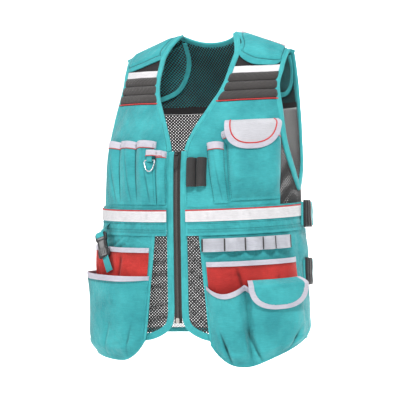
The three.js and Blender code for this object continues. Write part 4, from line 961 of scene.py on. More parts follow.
# Zip tapes, teeth and the box at the zip's foot
ZIP_FOOT = -BODY_LENGTH + HEM_CUT_RISE + SEAM_GAP
SLIDER_MIDDLE = -NECK_DEPTH - 6.5
CHAIN_HALF_WIDTH = 2.6
TOOTH_PITCH, TOOTH_HALF = 1.9, 0.62
TOOTH_FACES = ((0, 2, 3, 1), (2, 4, 5, 3), (4, 6, 7, 5), (6, 0, 1, 7), (0, 6, 4, 2), (1, 3, 5, 7))


def placed_at(across, height, lift, lean=0.0):
    """The matrix of a rigid piece drawn in (along, up, out) millimetres."""
    along, up, out = (np.array(a) for a in cloth_frame(np.float64(across), np.float64(height)))
    origin = (cloth_point(across, height) + out * lift) * MM
    rows = [[*(np.array([along[k], up[k], out[k]]) * MM), origin[k]] for k in range(3)] + [[0, 0, 0, 1]]
    return np.array(rows) @ np.array(Matrix.Rotation(lean, 4, "Z"))


def moved(matrix, points):
    points = np.asarray(points, float)
    return points @ matrix[:3, :3].T + matrix[:3, 3]


def make_zip():
    for side, _ in SIDES:
        side_piece(side, "zip_cloth", lambda u, v: (
            mix(SEAM_GAP / 2, ZIP_HALF_WIDTH + 0.3, u), mix(ZIP_FOOT, -NECK_DEPTH, v), -CLOTH_WALL,
            0.25 * (u < 0.4)), 6, 60, [ZIP_TAPE], "zip_tape", held=None)
    points, faces, uvs = [], [], []
    top, foot = SLIDER_MIDDLE - 6.9, ZIP_FOOT + CHAIN_HALF_WIDTH
    for k in range(int((top - foot) / TOOTH_PITCH * 2)):
        sign = 1 if k % 2 else -1
        height = foot + k * TOOTH_PITCH / 2
        near, far = -0.5 * sign, CHAIN_HALF_WIDTH * sign
        for a, lift in ((near, 0.6), (near, 2.3), (far, 1.9), (far, 0.6)):
            for h in (-TOOTH_HALF, TOOTH_HALF):
                points.append(spot(a, height + h * (0.75 if a == far else 1), lift))
                uvs.append((a * MM, h * MM))
        block = shifted(TOOTH_FACES, 8 * k)
        faces += block if sign < 0 else [f[::-1] for f in block]
    build_piece("zip_teeth", points, faces, uvs, [TEETH], replaces=["zip_chain"], smooth=30)
    ends = np.linspace(ZIP_FOOT + 0.5, ZIP_FOOT + 10.5, 9)
    reach = (1 - np.abs(np.linspace(-1, 1, 9)) ** 6) * 0.4 + 0.6
    outside, lift = round_profile(-1, 1, -1, 1, 16)
    rings = np.stack([spot(outside * 3.6 * r, h, 3.6 + lift * 1.1 * r) for h, r in zip(ends, reach)])
    ring_piece("zip_box", rings, [PALE_PLASTIC])


# Pockets of the front
def pocket_place(form):
    share = band_share(form)
    ear_left, ear_right = form.get("ears", (0, 0))

    def place(u, v):
        across = mix(mix(form["foot_from"], form["top_from"], v),
                     mix(form["foot_from"] + form["foot_width"], form["top_from"] + form["top_width"], v), u)
        across = across + ease((v - 0.8) / 0.16) * mix(-ear_left, ear_right, u)
        full = form["fill"](u) * form["rise"](v)
        low = BELT_SEAT + form["depth"] * full + form["fold"](u, v) * full
        wall = CLOTH_WALL + np.where(v > 1 - share, BAND_WALL, 0)
        return across, level_height(across, mix(form["foot"], form["top"], v)), low, low + wall
    return place


def make_pocket(name, node, form, sign, columns, rows, rests_on):
    place = pocket_place(form)
    share = band_share(form)
    cloth_piece(name, place, columns, band_rows(rows, share), [TEAL, PALE], sign, band=lambda u, v: v > 1 - share,
                replaces=[node], rests_on=rests_on)
    piping(f"piping_{name}", place, np.linspace(0.01, 0.99, columns), 1 - share - 0.004, sign, 0.75, 0.5)
    for u in (0.025, 0.975):
        stitch_on(place, u, np.linspace(0.02, 0.98, 30), 0.15, sign)


PENS = dict(top_from=47, top_width=140, foot_from=42, foot_width=132, top=230, foot=350, depth=11.5, band=13,
            fill=tube_fill(3, 0.72), rise=tube_rise,
            fold=lambda u, v: (1.6 * np.sin(u * 29 + 1.9 * v + 0.4)
                               + 1.2 * np.sin(u * 11 - 2.2 * v + 1)) * (1 - v * 0.75)
            - 7 * valley((3 * u) % 1, 0.3 + 0.25 * v, 0.07) * np.exp(-2.6 * v))
SMALL = dict(top_from=22, top_width=23, foot_from=22, foot_width=18, top=250, foot=350, depth=8, band=11,
             fill=tube_fill(1, 0.6), rise=tube_rise, fold=lambda u, v: 0.7 * np.sin(u * 9 + 3 * v) * (1 - v))
NARROW = dict(top_from=59, top_width=32, foot_from=76, foot_width=27, top=236, foot=350, depth=10, band=13,
              fill=tube_fill(1, 0.6), rise=tube_rise,
              fold=lambda u, v: 1.0 * np.sin(u * 8 + 2.4 * v + 0.5) * (1 - v * 0.7)
              - 4 * valley(u, 0.62 - 0.3 * v, 0.09) * np.exp(-2.6 * v))
CHEST = dict(ears=(11, -3), top_from=95, top_width=109, foot_from=107, foot_width=97, top=216, foot=346, depth=19,
             band=13, fill=box_fill, rise=lambda v: np.minimum(1, 0.3 + 2.2 * v) * ease(0.12 + 4.4 * v),
             fold=lambda u, v: 1.6 * np.sin(u * 8 + 5 * v) * np.exp(-3 * v) - 1.6 * np.sin(v * math.pi) * (1 - np.abs(
                 2 * u - 1)) + 0.35 * np.sin(19 * u + 3 * v))


def flap_half(v):
    """Half the width of a flap, as a share, from its foot at 0 to its seam at 1."""
    return (1 - (1 - v) ** 3) ** (1 / 2.4)


def flap_place(form):
    def place(u, v):
        half = form["width"] / 2 * flap_half(v)
        across = form["middle"] + half * (2 * u - 1)
        height = level_height(across, mix(form["top"] + form["drop"], form["top"], v))
        over = np.clip((1 - v) * form["drop"] / form["mouth"], 0, 1)
        curl = form["curl"] * (1 - v) ** 2 * np.sin(u * math.pi)
        low = mix(form["seat"], form["front"], np.sin(over * math.pi / 2)) + curl
        border = 0.4 * is_border(form, u, v)
        return across, height, low, low + CLOTH_WALL + border
    return place


def is_border(form, u, v):
    """1 where a place of the flap is within its border."""
    down = (1 - v) * form["drop"] / (form["drop"] - form["border"])
    half = form["width"] / 2 * flap_half(v)
    inner = (form["width"] / 2 - form["border"]) * flap_half(np.clip(1 - down, 0, 1))
    return np.where((np.abs(2 * u - 1) * half > inner) | (down > 1), 1, 0)


def u_line(form, inset):
    """Shares (u, v) along a U that runs inside the flap's outline."""
    w = np.concatenate([0.97 * np.linspace(1, 0, 50) ** 2, 0.97 * np.linspace(0, 1, 50)[1:] ** 2])
    side = np.concatenate([-np.ones(50), np.ones(49)])
    v = 1 - (1 - w) * (form["drop"] - inset) / form["drop"]
    x = side * (form["width"] / 2 - inset) * flap_half(w)
    x, v = smooth_path(x, 3), smooth_path(v, 3)
    half = form["width"] / 2 * flap_half(v)
    return (x / half + 1) / 2, v


CHEST_FLAP = dict(middle=141, width=104, top=192, drop=63, seat=BELT_SEAT,
                  front=BELT_SEAT + 19 + CLOTH_WALL + LAYER_GAP, mouth=19, border=8.5, curl=0.8)


def make_flap(name, node, form, materials, rests_on):
    place = flap_place(form)
    v = np.concatenate([0.002 + 0.248 * np.linspace(0, 1, 26)[:-1] ** 2, np.linspace(0.25, 1, 40)])
    cloth_piece(name, place, 96, v, materials, band=lambda a, b: is_border(form, a, b), held="folded",
                replaces=[node], rests_on=rests_on)
    return place


LOOPS_FROM, LOOPS_WIDTH, LOOPS_TOP, LOOPS_FOOT, LOOPS_RISE = 21, 40, 263, 317, 9


def make_front_pockets():
    for name, node, form, sign, columns, rows, rests_on in (
        ("cloth_pens", "pen_pocket", PENS, RIGHT, 90, 44, ["front_panel_right"]),
        ("cloth_small_pocket", "small_pocket", SMALL, RIGHT, 24, 36, ["front_panel_right"]),
        ("cloth_narrow_pocket", "narrow_pocket", NARROW, LEFT, 28, 40, ["front_panel_left"]),
        ("cloth_chest_pocket", "chest_pocket", CHEST, LEFT, 72, 48, ["front_panel_left"]),
    ):
        make_pocket(name, node, form, sign, columns, rows, rests_on)
    flap = make_flap("cloth_chest_flap", "chest_flap", CHEST_FLAP, [PALE_FLAP, PALE], ["chest_pocket"])
    u, v = u_line(CHEST_FLAP, 9.5)
    piping("piping_chest_flap", flap, u, v, LEFT, 1.3, 0.2)

    def small_band(u, v):
        across = mix(22.5, 61, u)
        hump = 13.7 * ease((across - 19) / 13) + 5.2 * ease((across - 37) / 8) - 6.5 * ease((across - 57.5) / 4)
        return across, level_height(across, mix(259.8, 249, v)), hump, hump + 1.1

    cloth_piece("band_small_pocket", small_band, 30, 6, [PALE], RIGHT, rests_on=["small_pocket", "d_ring_tab"])
    piping("piping_small_band", small_band, np.linspace(0.01, 0.99, 24), 0.05, RIGHT, 0.75, 0)

    def loops(u, v):
        across = LOOPS_FROM + LOOPS_WIDTH * u
        low = BELT_SEAT + LOOPS_RISE * tube_fill(2)(u)
        return across, level_height(across, mix(LOOPS_FOOT, LOOPS_TOP, v)), low, low + 1.6

    cloth_piece("webbing_humps", loops, 60, 30, [WEBBING], replaces=["webbing_loops"], rests_on=["front_panel_left"])
    for u in (0.012, 0.5, 0.988):
        stitch_on(loops, u, np.linspace(0.04, 0.96, 16), 0.2)


# Steel ring on its cloth tab
RING_ACROSS, RING_BAR, RING_WIRE, RING_WIDTH, RING_DROP = 52, -266, 3, 26, 22
TAB_SEAT = BELT_SEAT + CLOTH_WALL + 6.4
RING_HOLE = RING_WIRE / 2 + 0.5
RING_LIFT = TAB_SEAT + 1.6 + RING_HOLE


def make_ring():
    half = RING_WIDTH / 2 - RING_WIRE / 2
    turn = np.linspace(0, -math.pi, 40)
    xs = np.concatenate([np.linspace(-half, half, 10)[:-1], half * np.cos(turn)[:-1]])
    ys = np.concatenate([np.zeros(9), RING_DROP * np.sin(turn)[:-1]])
    xs, ys = smooth_loop(xs, 2), smooth_loop(ys, 2)
    run = unit(np.stack([np.roll(xs, -1) - np.roll(xs, 1), np.roll(ys, -1) - np.roll(ys, 1)], -1))
    angles = full_turn(14)
    aside = np.cos(angles) * RING_WIRE / 2
    local = np.stack([*beside(run, xs, ys, aside, 1), np.broadcast_to(np.sin(angles) * RING_WIRE / 2, (len(xs), 14))],
                     -1)
    matrix = placed_at(-RING_ACROSS, RING_BAR, RING_LIFT)
    ring_piece("steel_ring", moved(matrix, local), [STEEL], closed=True, body="d_ring", replaces=["d_ring"])
    base = placed_at(-RING_ACROSS, RING_BAR, 0)
    turn = np.linspace(math.pi, 2 * math.pi, 16)
    radius = RING_HOLE + 0.8
    path_up = np.concatenate([np.linspace(19.6, 1, 8), radius * np.sin(turn), np.linspace(1, 19.6, 8)])
    path_out = np.concatenate([np.full(8, RING_LIFT - radius), RING_LIFT + radius * np.cos(turn),
                               np.full(8, RING_LIFT + radius)])
    across, lift = round_profile(-5.8, 5.8, -0.7, 0.7, 14)
    rings = bar_rings(across, lift, path_up, path_out, 1)
    ring_piece("cloth_ring_tab", moved(base, rings), [TEAL_TAPE], replaces=["d_ring_tab"])


# Pouches below the belt
POUCH = {
    "left": dict(foot=657, outer_rise=46, red_top=460, lower_top=505),
    "right": dict(foot=650, outer_rise=12, red_top=433, lower_top=487),
}
POUCH_TOP = BELT_TOP + BELT_HEIGHT + SEAM_GAP
POUCH_INNER_TOP, POUCH_INNER_FOOT, POUCH_WRAP = 46, 64, 46
POUCH_CORNER, POUCH_CORNER_RISE, POUCH_CORNER_FLAT, POUCH_OUTER_SPAN = 52, 40, 20, 110
POUCH_BULGE, POUCH_BULGE_SHARE, POUCH_HANG = 5, 0.25, 6
POUCH_INSET, LOWER_MARGIN, POUCH_WIDTH, LOWER_SAG, LOWER_DEPTH = 9, 4.5, 176, 15, 30
PLEAT_DEPTH, PLEAT_SPREAD, PLEAT_SHARE = 0.55, 0.04, 0.37
RED_HEIGHT, RED_BAND, LOWER_BAND = 104, 9.5, 11
# Creases: depth, share across at the foot, lean, width, share up where it ends, and how fast it fades there
RED_CREASES = ((5.5, 0.4, -0.1, 0.03, 0.93, 0.2), (4, 0.66, 0.08, 0.03, 0.85, 0.3))
PLEATED_CREASES = ((14, 0.19, -0.2, 0.022, 0.5, 0.3), (16, 0.47, -0.25, 0.024, 0.55, 0.3),
                   (11, 0.72, 0.35, 0.028, 0.42, 0.3), (9, PLEAT_SHARE, 0, 0.02, 0.58, 0.2))
PLAIN_CREASES = ((5, 0.19, -0.2, 0.022, 0.5, 0.3), (4, 0.47, -0.25, 0.024, 0.55, 0.3),
                 (5, 0.72, 0.35, 0.028, 0.42, 0.3))


def pouch_foot(side, across):
    corner = 1 - np.clip((across - POUCH_INNER_FOOT) / POUCH_CORNER, 0, 1)
    outer = np.maximum(0, across - POUCH_INNER_FOOT - POUCH_CORNER - POUCH_CORNER_FLAT) / POUCH_OUTER_SPAN
    return -POUCH[side]["foot"] + POUCH_CORNER_RISE * corner ** 2 + POUCH[side]["outer_rise"] * outer


def pouch_edge(height):
    return mix(POUCH_INNER_TOP, POUCH_INNER_FOOT,
               np.minimum(1, (-height - POUCH_TOP) / (POUCH["left"]["foot"] - POUCH_TOP)))


def pouch_lift(across, height):
    down = np.clip((-height - POUCH_TOP) / (POUCH["right"]["foot"] - POUCH_TOP), 0, 1)
    to_side = np.clip((across - QUARTER + POUCH_WRAP / 2) / (1.5 * POUCH_WRAP), 0, 1)
    between = np.maximum(0, np.sin(np.minimum(1, down / POUCH_BULGE_SHARE) * math.pi))
    return BELT_SEAT + POUCH_HANG * down + POUCH_BULGE * np.sin(to_side * math.pi) * between


def pouch_panel_place(side):
    def place(u, v):
        middle = mix(-POUCH[side]["foot"], -POUCH_TOP, v)
        across = mix(pouch_edge(middle), QUARTER + POUCH_WRAP, u)
        height = mix(pouch_foot(side, across), level_height(across, POUCH_TOP), v)
        near = np.exp(-((across - 136) / 26) ** 2 - ((height + 428) / 13) ** 2)
        tuck = 1.7 * np.sin(across * 0.22 + height * 0.42) + 0.9 * np.sin(across * 0.5 - height * 0.3)
        low = pouch_lift(across, height) + (tuck * near if side == "right" else 0)
        return across, height, low, low + CLOTH_WALL
    return place


def pouch_pocket_place(side, form):
    share = band_share(form)

    def place(u, v):
        middle = mix(-form["foot"], -form["top"], v)
        across = pouch_edge(middle) + form["inset"] + form["width"] * u
        foot_height = np.maximum(level_height(across, form["foot"]), pouch_foot(side, across) + SEAM_GAP)
        height = mix(foot_height, level_height(across, form["top"] + form["sag"](u)), v)
        full = form["fill"](u) * form["rise"](v)
        low = pouch_lift(across, height) + CLOTH_WALL + LAYER_GAP + form["depth"] * full + form["fold"](u, v) * full
        return across, height, low, low + CLOTH_WALL + np.where(v > 1 - share, BAND_WALL, 0)
    return place


def pleat_fill(u):
    return box_fill(u) * (1 - PLEAT_DEPTH * valley(u, PLEAT_SHARE, PLEAT_SPREAD))


def no_sag(u):
    return 0 * u


def pouch_sag(u):
    return np.where(u < PLEAT_SHARE, LOWER_SAG * np.sin(np.minimum(u / PLEAT_SHARE, 1) * math.pi),
                    LOWER_SAG / 2 * ease((u - PLEAT_SHARE) / 0.06))


def creased(base, u, v, creases):
    for depth, foot, lean, width, end, fade in creases:
        base = base - depth * valley(u, foot + lean * v, width) * ease((end - v) / fade)
    return base


def red_form(side):
    def fold(u, v):
        return creased(1.8 * np.sin(u * 19 + 2 * v) + 2.2 * np.sin(u * 9.5 - 2 * v + 1.7), u, v, RED_CREASES)

    top = POUCH[side]["red_top"]
    return dict(inset=POUCH_INSET, width=POUCH_WIDTH, top=top, foot=top + RED_HEIGHT, band=RED_BAND, depth=12,
                fill=box_fill, rise=tube_rise, sag=no_sag, fold=fold)


def lower_form(side):
    pleated = side == "left"

    def fold(u, v):
        waves = (2.6 * np.sin(u * 8 + 3.4 * v + (0.4 if pleated else 2.2))
                 + 1.3 * np.sin(u * 17 - 4 * v) * (1 - 0.6 * v)
                 - 2.4 * valley(v - 0.16, 0.05 * np.sin(9 * u), 0.05))
        return creased(waves, u, v, PLEATED_CREASES if pleated else PLAIN_CREASES) * (
            1 - 0.75 * ease((v - 0.7) / 0.25))

    return dict(inset=POUCH_INSET - LOWER_MARGIN, width=POUCH_WIDTH + 2 * LOWER_MARGIN,
                top=POUCH[side]["lower_top"], foot=POUCH[side]["foot"], band=LOWER_BAND, depth=LOWER_DEPTH,
                fill=pleat_fill if pleated else box_fill, sag=pouch_sag if pleated else no_sag,
                rise=lambda v: ease(0.1 + 5.4 * v) * mix(0.55, 1, v), fold=fold)


def make_pouches():
    for side, sign in SIDES:
        panel = pouch_panel_place(side)
        side_piece(side, "cloth_pouch", panel, 70, 60, [TEAL], "pouch_panel", "belt")
        red, lower = (pouch_pocket_place(side, form(side)) for form in (red_form, lower_form))
        red_share = band_share(red_form(side))
        side_piece(side, "cloth_red", red, 80, band_rows(30, red_share), [RED, PALE], "pouch_red_pocket", "pouch_panel",
                   band=lambda u, v: v > 1 - red_share)
        share = band_share(lower_form(side))
        columns = np.unique(np.concatenate([np.linspace(0, 1, 96), np.linspace(0.28, 0.46, 30)]))
        rows = np.concatenate([np.linspace(0, 0.3, 26)[:-1], mix(0.3, 1, band_rows(34, share / 0.7))])
        side_piece(side, "cloth_lower", lower, columns, rows, [TEAL, PALE], "pouch_pocket", "pouch_panel",
                   band=lambda u, v: v > 1 - share)
        if side == "right":
            stitch_on(lower, np.linspace(0.03, 0.97, 120), 1 - share - 0.02, 0.15, sign)
        across, height, _, _ = panel(*u_path(1, 0, 0, (60, 90, 50), 0))
        across, height = smooth_path(across, 20), smooth_path(height, 20)
        outside, lift = round_profile(-5.5, 1.2, -1.3, 1.6, 12)
        a, h = beside(path_run(across, height), across, height, outside, 1)
        pucker = 0.15 * np.sin(np.arange(200) * 1.9)[:, None]
        rings = spot(a * sign, h, pouch_lift(a, h) + CLOTH_WALL / 2 + lift[None] + pucker)
        ring_piece(f"edge_pouch_{side}", rings, [TEAL_TAPE])


# Elastic loops on the left pouch, and the pouch's flap
ELASTIC_TOP, ELASTIC_HEIGHT, ELASTIC_RISE = 416, 25, 9.5
ELASTIC_SEAMS = np.array([0, 0.25, 0.47, 0.66, 0.8, 1])


def make_elastic():
    low_edge = pouch_edge(-ELASTIC_TOP)

    def place(u, v):
        across = mix(low_edge + POUCH_INSET / 2, low_edge + POUCH_WIDTH, u)
        height = level_height(across, ELASTIC_TOP + ELASTIC_HEIGHT * (1 - v))
        seat = pouch_lift(across, height) + CLOTH_WALL + LAYER_GAP
        k = np.clip(np.searchsorted(ELASTIC_SEAMS, u, side="right") - 1, 0, 4)
        share = (u - ELASTIC_SEAMS[k]) / (ELASTIC_SEAMS[k + 1] - ELASTIC_SEAMS[k])
        low = seat + ELASTIC_RISE * np.abs(np.sin(np.clip(share, 0, 1) * math.pi)) ** 0.8
        return across, height, low, low + CLOTH_WALL

    cloth_piece("elastic_humps", place, 150, 10, [ELASTIC], replaces=["elastic_loops"],
                rests_on=["pouch_panel_left"])
    # Dark cords down each seam between the loops: the stitching is real, while their dark colour and width are painted
    # shade in the gaps.
    for k, u in enumerate(np.clip(ELASTIC_SEAMS, 0.008, 0.992)):
        piping(f"elastic_tack_and_shade_{k}", place, u, np.linspace(0.03, 0.97, 12), LEFT, 2.0, 0.1, RIB)


POUCH_FLAP_TOP = 497.0
POUCH_FLAP_MIDDLE = float(pouch_edge(-POUCH_FLAP_TOP)) + POUCH_INSET + POUCH_WIDTH * mix(PLEAT_SHARE, 1, 0.48)
POUCH_FLAP_SEAT = float(pouch_lift(POUCH_FLAP_MIDDLE, -POUCH_FLAP_TOP)) + CLOTH_WALL
POUCH_FLAP = dict(middle=POUCH_FLAP_MIDDLE, width=96, top=POUCH_FLAP_TOP, drop=56,
                  seat=POUCH_FLAP_SEAT + LAYER_GAP + 12 + CLOTH_WALL,
                  front=POUCH_FLAP_SEAT + LOWER_DEPTH + CLOTH_WALL + BAND_WALL + 2 * LAYER_GAP + 1.2,
                  mouth=POUCH["left"]["lower_top"] - POUCH_FLAP_TOP + LOWER_SAG / 2 - 2.5, border=8, curl=0.8)


# Fastened buckle on the right pouch
BUCKLE_ACROSS, BUCKLE_HEIGHT, BUCKLE_LEAN, BUCKLE_LENGTH = 158, -427, 0.34, 50
BUCKLE_MIDDLE = 20.3 + 9 / 2
BUCKLE_TURN = 0.42
BUCKLE_HALF_WIDTH, BUCKLE_HALF_WALL = 13.4, 3.9


def make_buckle():
    matrix = placed_at(-BUCKLE_ACROSS, BUCKLE_HEIGHT, BUCKLE_MIDDLE, BUCKLE_LEAN)
    matrix = matrix @ np.array(Matrix.Rotation(BUCKLE_TURN, 4, "Y"))
    y = np.concatenate([[-25], -25 + 3 * (1 - np.cos(np.linspace(0.2, 1, 6) * math.pi / 2)), np.linspace(-21, 21, 40),
                        25 - 3 * (1 - np.cos(np.linspace(1, 0.2, 6) * math.pi / 2)), [25]])
    notch = 3 * (ease((y + 12.5) / 6) - ease((y - 6.5) / 6))
    ends = 1 - 0.16 * np.clip((np.abs(y) - 21.5) / 3.5, 0, 1) ** 2
    step = 0.5 * (np.cos(np.clip(np.abs(y - 9) / 1.6, 0, 1) * math.pi) + 1)
    outside, lift = round_profile(-1, 1, -1, 1, 28, 0.4)
    crown = 1 + 0.1 * (1 - outside ** 2)
    y, notch, ends, step = (values[:, None] for values in (y, notch, ends, step))
    rings = np.stack([outside * (BUCKLE_HALF_WIDTH - notch) * ends, y + 0 * outside,
                      lift * (BUCKLE_HALF_WALL - 0.5 * step) * ends * crown], -1)
    ring_piece("clip_body", moved(matrix, rings), [PLASTIC], replaces=["buckle"], across_uv=0.002)
    wrap_y = np.concatenate([np.full(8, 16.0), [20, 24, 26.4, 26.8, 26.4], np.linspace(24, 14, 6)])
    wrap_z = np.concatenate([np.linspace(3.2, 4.6, 8), [5.4, 4.9, 3.2, 0.5, -2.6], np.full(6, -5.2)])
    outside, lift = round_profile(-9.2, 9.2, -0.7, 0.7, 14)
    wrap = bar_rings(outside, lift, wrap_y, wrap_z, -1)[7:]
    ring_piece("clip_strap_loop", moved(matrix, wrap), [TEAL_TAPE])
    for letter, x in zip("abc", (-4.2, 0.0, 4.2)):
        line = np.stack([np.full(12, x), np.linspace(-19, -5, 12), np.full(12, 4.1)], -1)
        ring_piece(f"clip_rib_{letter}", tube_rings(moved(matrix, line), 0.0008), [PLASTIC])


# The buckle's strap and tail, and the two straps with their buckles at each side
STRAP_WIDTH, STRAP_WALL = 20, 1.4
SIDE_START, SIDE_REACH, SIDE_WIDTH, SIDE_ARCH = 8, 78, 46, 12
UPPER_STRAP, LOWER_STRAP = -368, -480
FRAME_FROM, FRAME_LENGTH, FRAME_EDGE, FRAME_OVER = 36, 22, 2.2, 3


def webbing_rings(path):
    """A flat strap along a few places (reach, lift) of the buckle's line."""
    keys = np.array(path, float)
    where = np.linspace(0, 1, (len(keys) - 1) * 10 + 1)
    rows = np.linspace(0, 1, len(keys))
    reach = look_up(np.stack([rows, keys[:, 0]], 1), where)
    lift = look_up(np.stack([rows, keys[:, 1]], 1), where)
    sine, cosine = math.sin(BUCKLE_LEAN), math.cos(BUCKLE_LEAN)
    across, height = -BUCKLE_ACROSS - reach * sine, BUCKLE_HEIGHT + reach * cosine
    along, up, out = cloth_frame(across, height)
    middles = cloth_point(across, height) + out * lift[:, None]
    side = along * cosine + up * sine
    face = unit(np.cross(side, unit(np.gradient(middles, axis=0))))
    a, b = round_profile(-STRAP_WIDTH / 2, STRAP_WIDTH / 2, -STRAP_WALL / 2, STRAP_WALL / 2, 16, 0.35)
    return (middles[:, None] + side[:, None] * a[None, :, None] + face[:, None] * b[None, :, None]) * MM


def frame_rings(strap, sign):
    """Rings of a side buckle's frame, a rounded oblong round the strap."""
    near, far = (FRAME_FROM + FRAME_EDGE) / SIDE_REACH, (FRAME_FROM + FRAME_LENGTH - FRAME_EDGE) / SIDE_REACH
    foot, top = (FRAME_EDGE - FRAME_OVER) / SIDE_WIDTH, 1 + (FRAME_OVER - FRAME_EDGE) / SIDE_WIDTH
    u = smooth_loop(dense([near, far, far, near, near], 12)[:-1], 3)
    v = smooth_loop(dense([foot, foot, top, top, foot], 12)[:-1], 3)
    across, height, low, _ = strap(u, v)
    points = spot(across * sign, height, low - SEAM_GAP - 1.8)
    out = cloth_frame(across * sign, height)[2]
    aside = unit(np.cross(unit(np.roll(points, -1, 0) - np.roll(points, 1, 0)), out))
    a, b = round_profile(-2.3, 2.3, -1.6, 1.6, 12)
    return points[:, None] + spread(aside, a, out, b) * MM


def make_straps():
    end = BUCKLE_LENGTH / 2 + SEAM_GAP
    low = TRIM_SEAT + 0.7
    for name, node, path in (
        ("strap_buckle", "buckle_strap",
         ((end - 2, BUCKLE_MIDDLE), (end + 9, mix(BUCKLE_MIDDLE, low, 0.4)), (end + 18, low))),
        ("strap_loose_end", "strap_tail",
         ((-end + 2, BUCKLE_MIDDLE), (-end - 14, BUCKLE_MIDDLE - 1.5), (-end - 28, BUCKLE_MIDDLE - 3))),
    ):
        ring_piece(name, webbing_rings(path), [TEAL_TAPE], replaces=[node])
    over_stripe = TRIM_SEAT + 0.8 + LAYER_GAP
    over_pouch = float(pouch_lift(QUARTER - SIDE_START, LOWER_STRAP)) + CLOTH_WALL + 1.5 * LAYER_GAP
    for level, middle, seat, far_seat, rest in (("upper", UPPER_STRAP, over_stripe, over_stripe, "belt"),
                                                ("lower", LOWER_STRAP, over_pouch, SEAM_GAP, "pouch_panel")):
        def strap(u, v):
            low = mix(seat, far_seat, u) + SIDE_ARCH * np.sin(u * math.pi)
            fold = 0.5 * np.sin(v * 9 + u * 3) * np.sin(u * math.pi)
            across = QUARTER - SIDE_START + SIDE_REACH * u
            return across, middle + SIDE_WIDTH * (v - 0.5), low + fold, low + fold + STRAP_WALL

        def clip(u, v):
            across, height, _, high = strap(mix(3.5, 25, u) / SIDE_REACH, mix(-3.5, 49.5, v) / SIDE_WIDTH)
            rim = np.maximum(np.abs(2 * u - 1) ** 8, np.abs(2 * v - 1) ** 14)
            bars = 0.9 * np.abs(np.sin(u * 3 * math.pi)) ** 0.5
            return across, height, high + 0.15, high + 1.4 + bars * (1 - rim)

        for side, sign in SIDES:
            side_piece(side, f"side_cloth_{level}", strap, 40, 16, [TEAL_TAPE], f"side_strap_{level}", rest)
            side_piece(side, f"side_clip_{level}", clip, 30, 24, [PLASTIC], held=None)
            ring_piece(f"side_frame_{level}_{side}", frame_rings(strap, sign), [PLASTIC], closed=True,
                       replaces=[f"side_buckle_{level}_{side}"])


# Pipings, tongue rims, stitches and the strip along each shoulder ridge
def make_trims():
    ribs = shoulder_band_place(RIBS_TOP, RIBS_FOOT + 1, rib_high)

    def rib_foot(u, v):
        across, height, _, _ = ribs(u, v)
        return across, height - 1.6, 1.0, PANEL_TOP + 0.6

    tip = float(cloth_point(armhole_edge(-RIDGE_GAP), -RIDGE_GAP)[0])
    for side, sign in SIDES:
        piping(f"piping_ribs_{side}", rib_foot, np.linspace(0, 1, 40), 0.0, sign, 1.3, 0.5)
        across, height, low, high = tongue_place(*u_path(0.96, 0, 0, (30, 50, 30), 16))
        outside, lift = round_profile(-1.5, 8.5, 0, 1, 12, 0.5)
        a, h = beside(path_run(across, height), across, height, outside, -1)
        rim = mix((low - 1.6)[:, None], high + 0.2, lift[None])
        ring_piece(f"edge_tongue_{side}", spot(a * sign, h, rim), [TEAL_TAPE])
        x = np.linspace(NECK_HALF_WIDTH + 12, tip - 12, 40) * sign
        rise = 5.0 if side == "left" else 2.6
        # The ridge strip uses the greyer pale tape in place of white reflective tape: its grey is painted shade, which
        # sets it apart from the white backdrop.
        for name, back, up, radius, material in (("strip", 1.9, rise, 1.9, PALE),
                                                 ("line", 1.4, rise + 1.9, 0.7, RED_CORD)):
            points = np.stack([x, back + 0 * x, ridge_height(x) + up], -1) * MM
            ring_piece(f"ridge_{name}_{side}", tube_rings(points, radius * MM), [material])
        stitch_on(pad_place(side), *u_path(0.97, 0.13, 0.09, (24, 40, 24), 8), 0.1, sign, pitch=3.0, length=2.0)
        stitch_on(front_panel_place, 0.012, np.linspace(0.02, 0.98, 80), 0.6, sign)
    build_piece("stitches", np.array(stitch_points), stitch_faces, stitch_uvs, [STITCH], smooth=30)


make_body()
make_bindings()
make_belt()
make_zip()
make_front_pockets()
make_ring()
make_pouches()
make_elastic()
make_flap("cloth_pouch_flap", "pouch_flap", POUCH_FLAP, [TEAL, PALE], ["pouch_pocket_left"])
make_buckle()
make_straps()
make_trims()

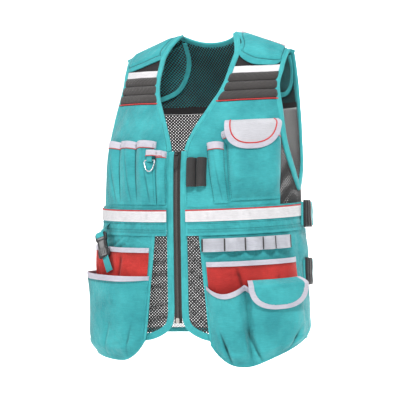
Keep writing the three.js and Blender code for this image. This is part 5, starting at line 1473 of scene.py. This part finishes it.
# The zip's slider and its pull stay the part's own solids, with a metal finish
for node in ("zip_slider", "zip_pull"):
    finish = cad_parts[node].data.materials
    finish.clear()
    finish.append(GUNMETAL)


# Floor, backdrop and light
def make_stage():
    floor, wall, reach, bend = -0.95, 4.6, 9.0, 1.6
    turn = np.linspace(0, math.pi / 2, 16)
    y = np.concatenate([[-reach], wall - bend + bend * np.sin(turn), [wall]])
    z = np.concatenate([[floor], floor + bend - bend * np.cos(turn), [floor + reach]])
    points = [(x, float(b), float(c)) for b, c in zip(y, z) for x in (-reach, reach)]
    faces = [(2 * i, 2 * i + 1, 2 * i + 3, 2 * i + 2) for i in range(len(y) - 1)]
    mesh = bpy.data.meshes.new("backdrop")
    mesh.from_pydata(points, [], faces)
    mesh.shade_smooth()
    material, n = new_material("backdrop_paper")
    n.finish(n.ramp(n.noise(3.0), ((0.2, (0.93, 0.93, 0.93)), (0.8, (0.95, 0.95, 0.95)))), 0.9, specular=0.1)
    mesh.materials.append(material)
    backdrop = bpy.data.objects.new("backdrop", mesh)
    bpy.context.scene.collection.objects.link(backdrop)
    world = bpy.data.worlds.new("studio")
    world.use_nodes = True
    world.node_tree.nodes["Background"].inputs["Color"].default_value = (1, 1, 1, 1)
    world.node_tree.nodes["Background"].inputs["Strength"].default_value = 0.44
    bpy.context.scene.world = world
    for name, place, size, power in (
        ("key", (1.3, -2.4, 2.1), 0.5, 82), ("fill", (-2.3, -1.8, 0.5), 0.9, 24), ("top", (0.3, 0.2, 2.4), 1.6, 22),
        ("back_wash", (0.0, 2.2, 2.0), 3.2, 260),
    ):
        data = bpy.data.lights.new(name, "AREA")
        data.size = size
        data.energy = power
        lamp = bpy.data.objects.new(name, data)
        lamp.location = place
        target = Vector((0, wall, -0.3)) if name == "back_wash" else Vector((0, -0.03, -0.33))
        lamp.rotation_euler = (target - Vector(place)).to_track_quat("-Z", "Y").to_euler()
        bpy.context.scene.collection.objects.link(lamp)
    bpy.context.scene.view_settings.view_transform = "Standard"


make_stage()
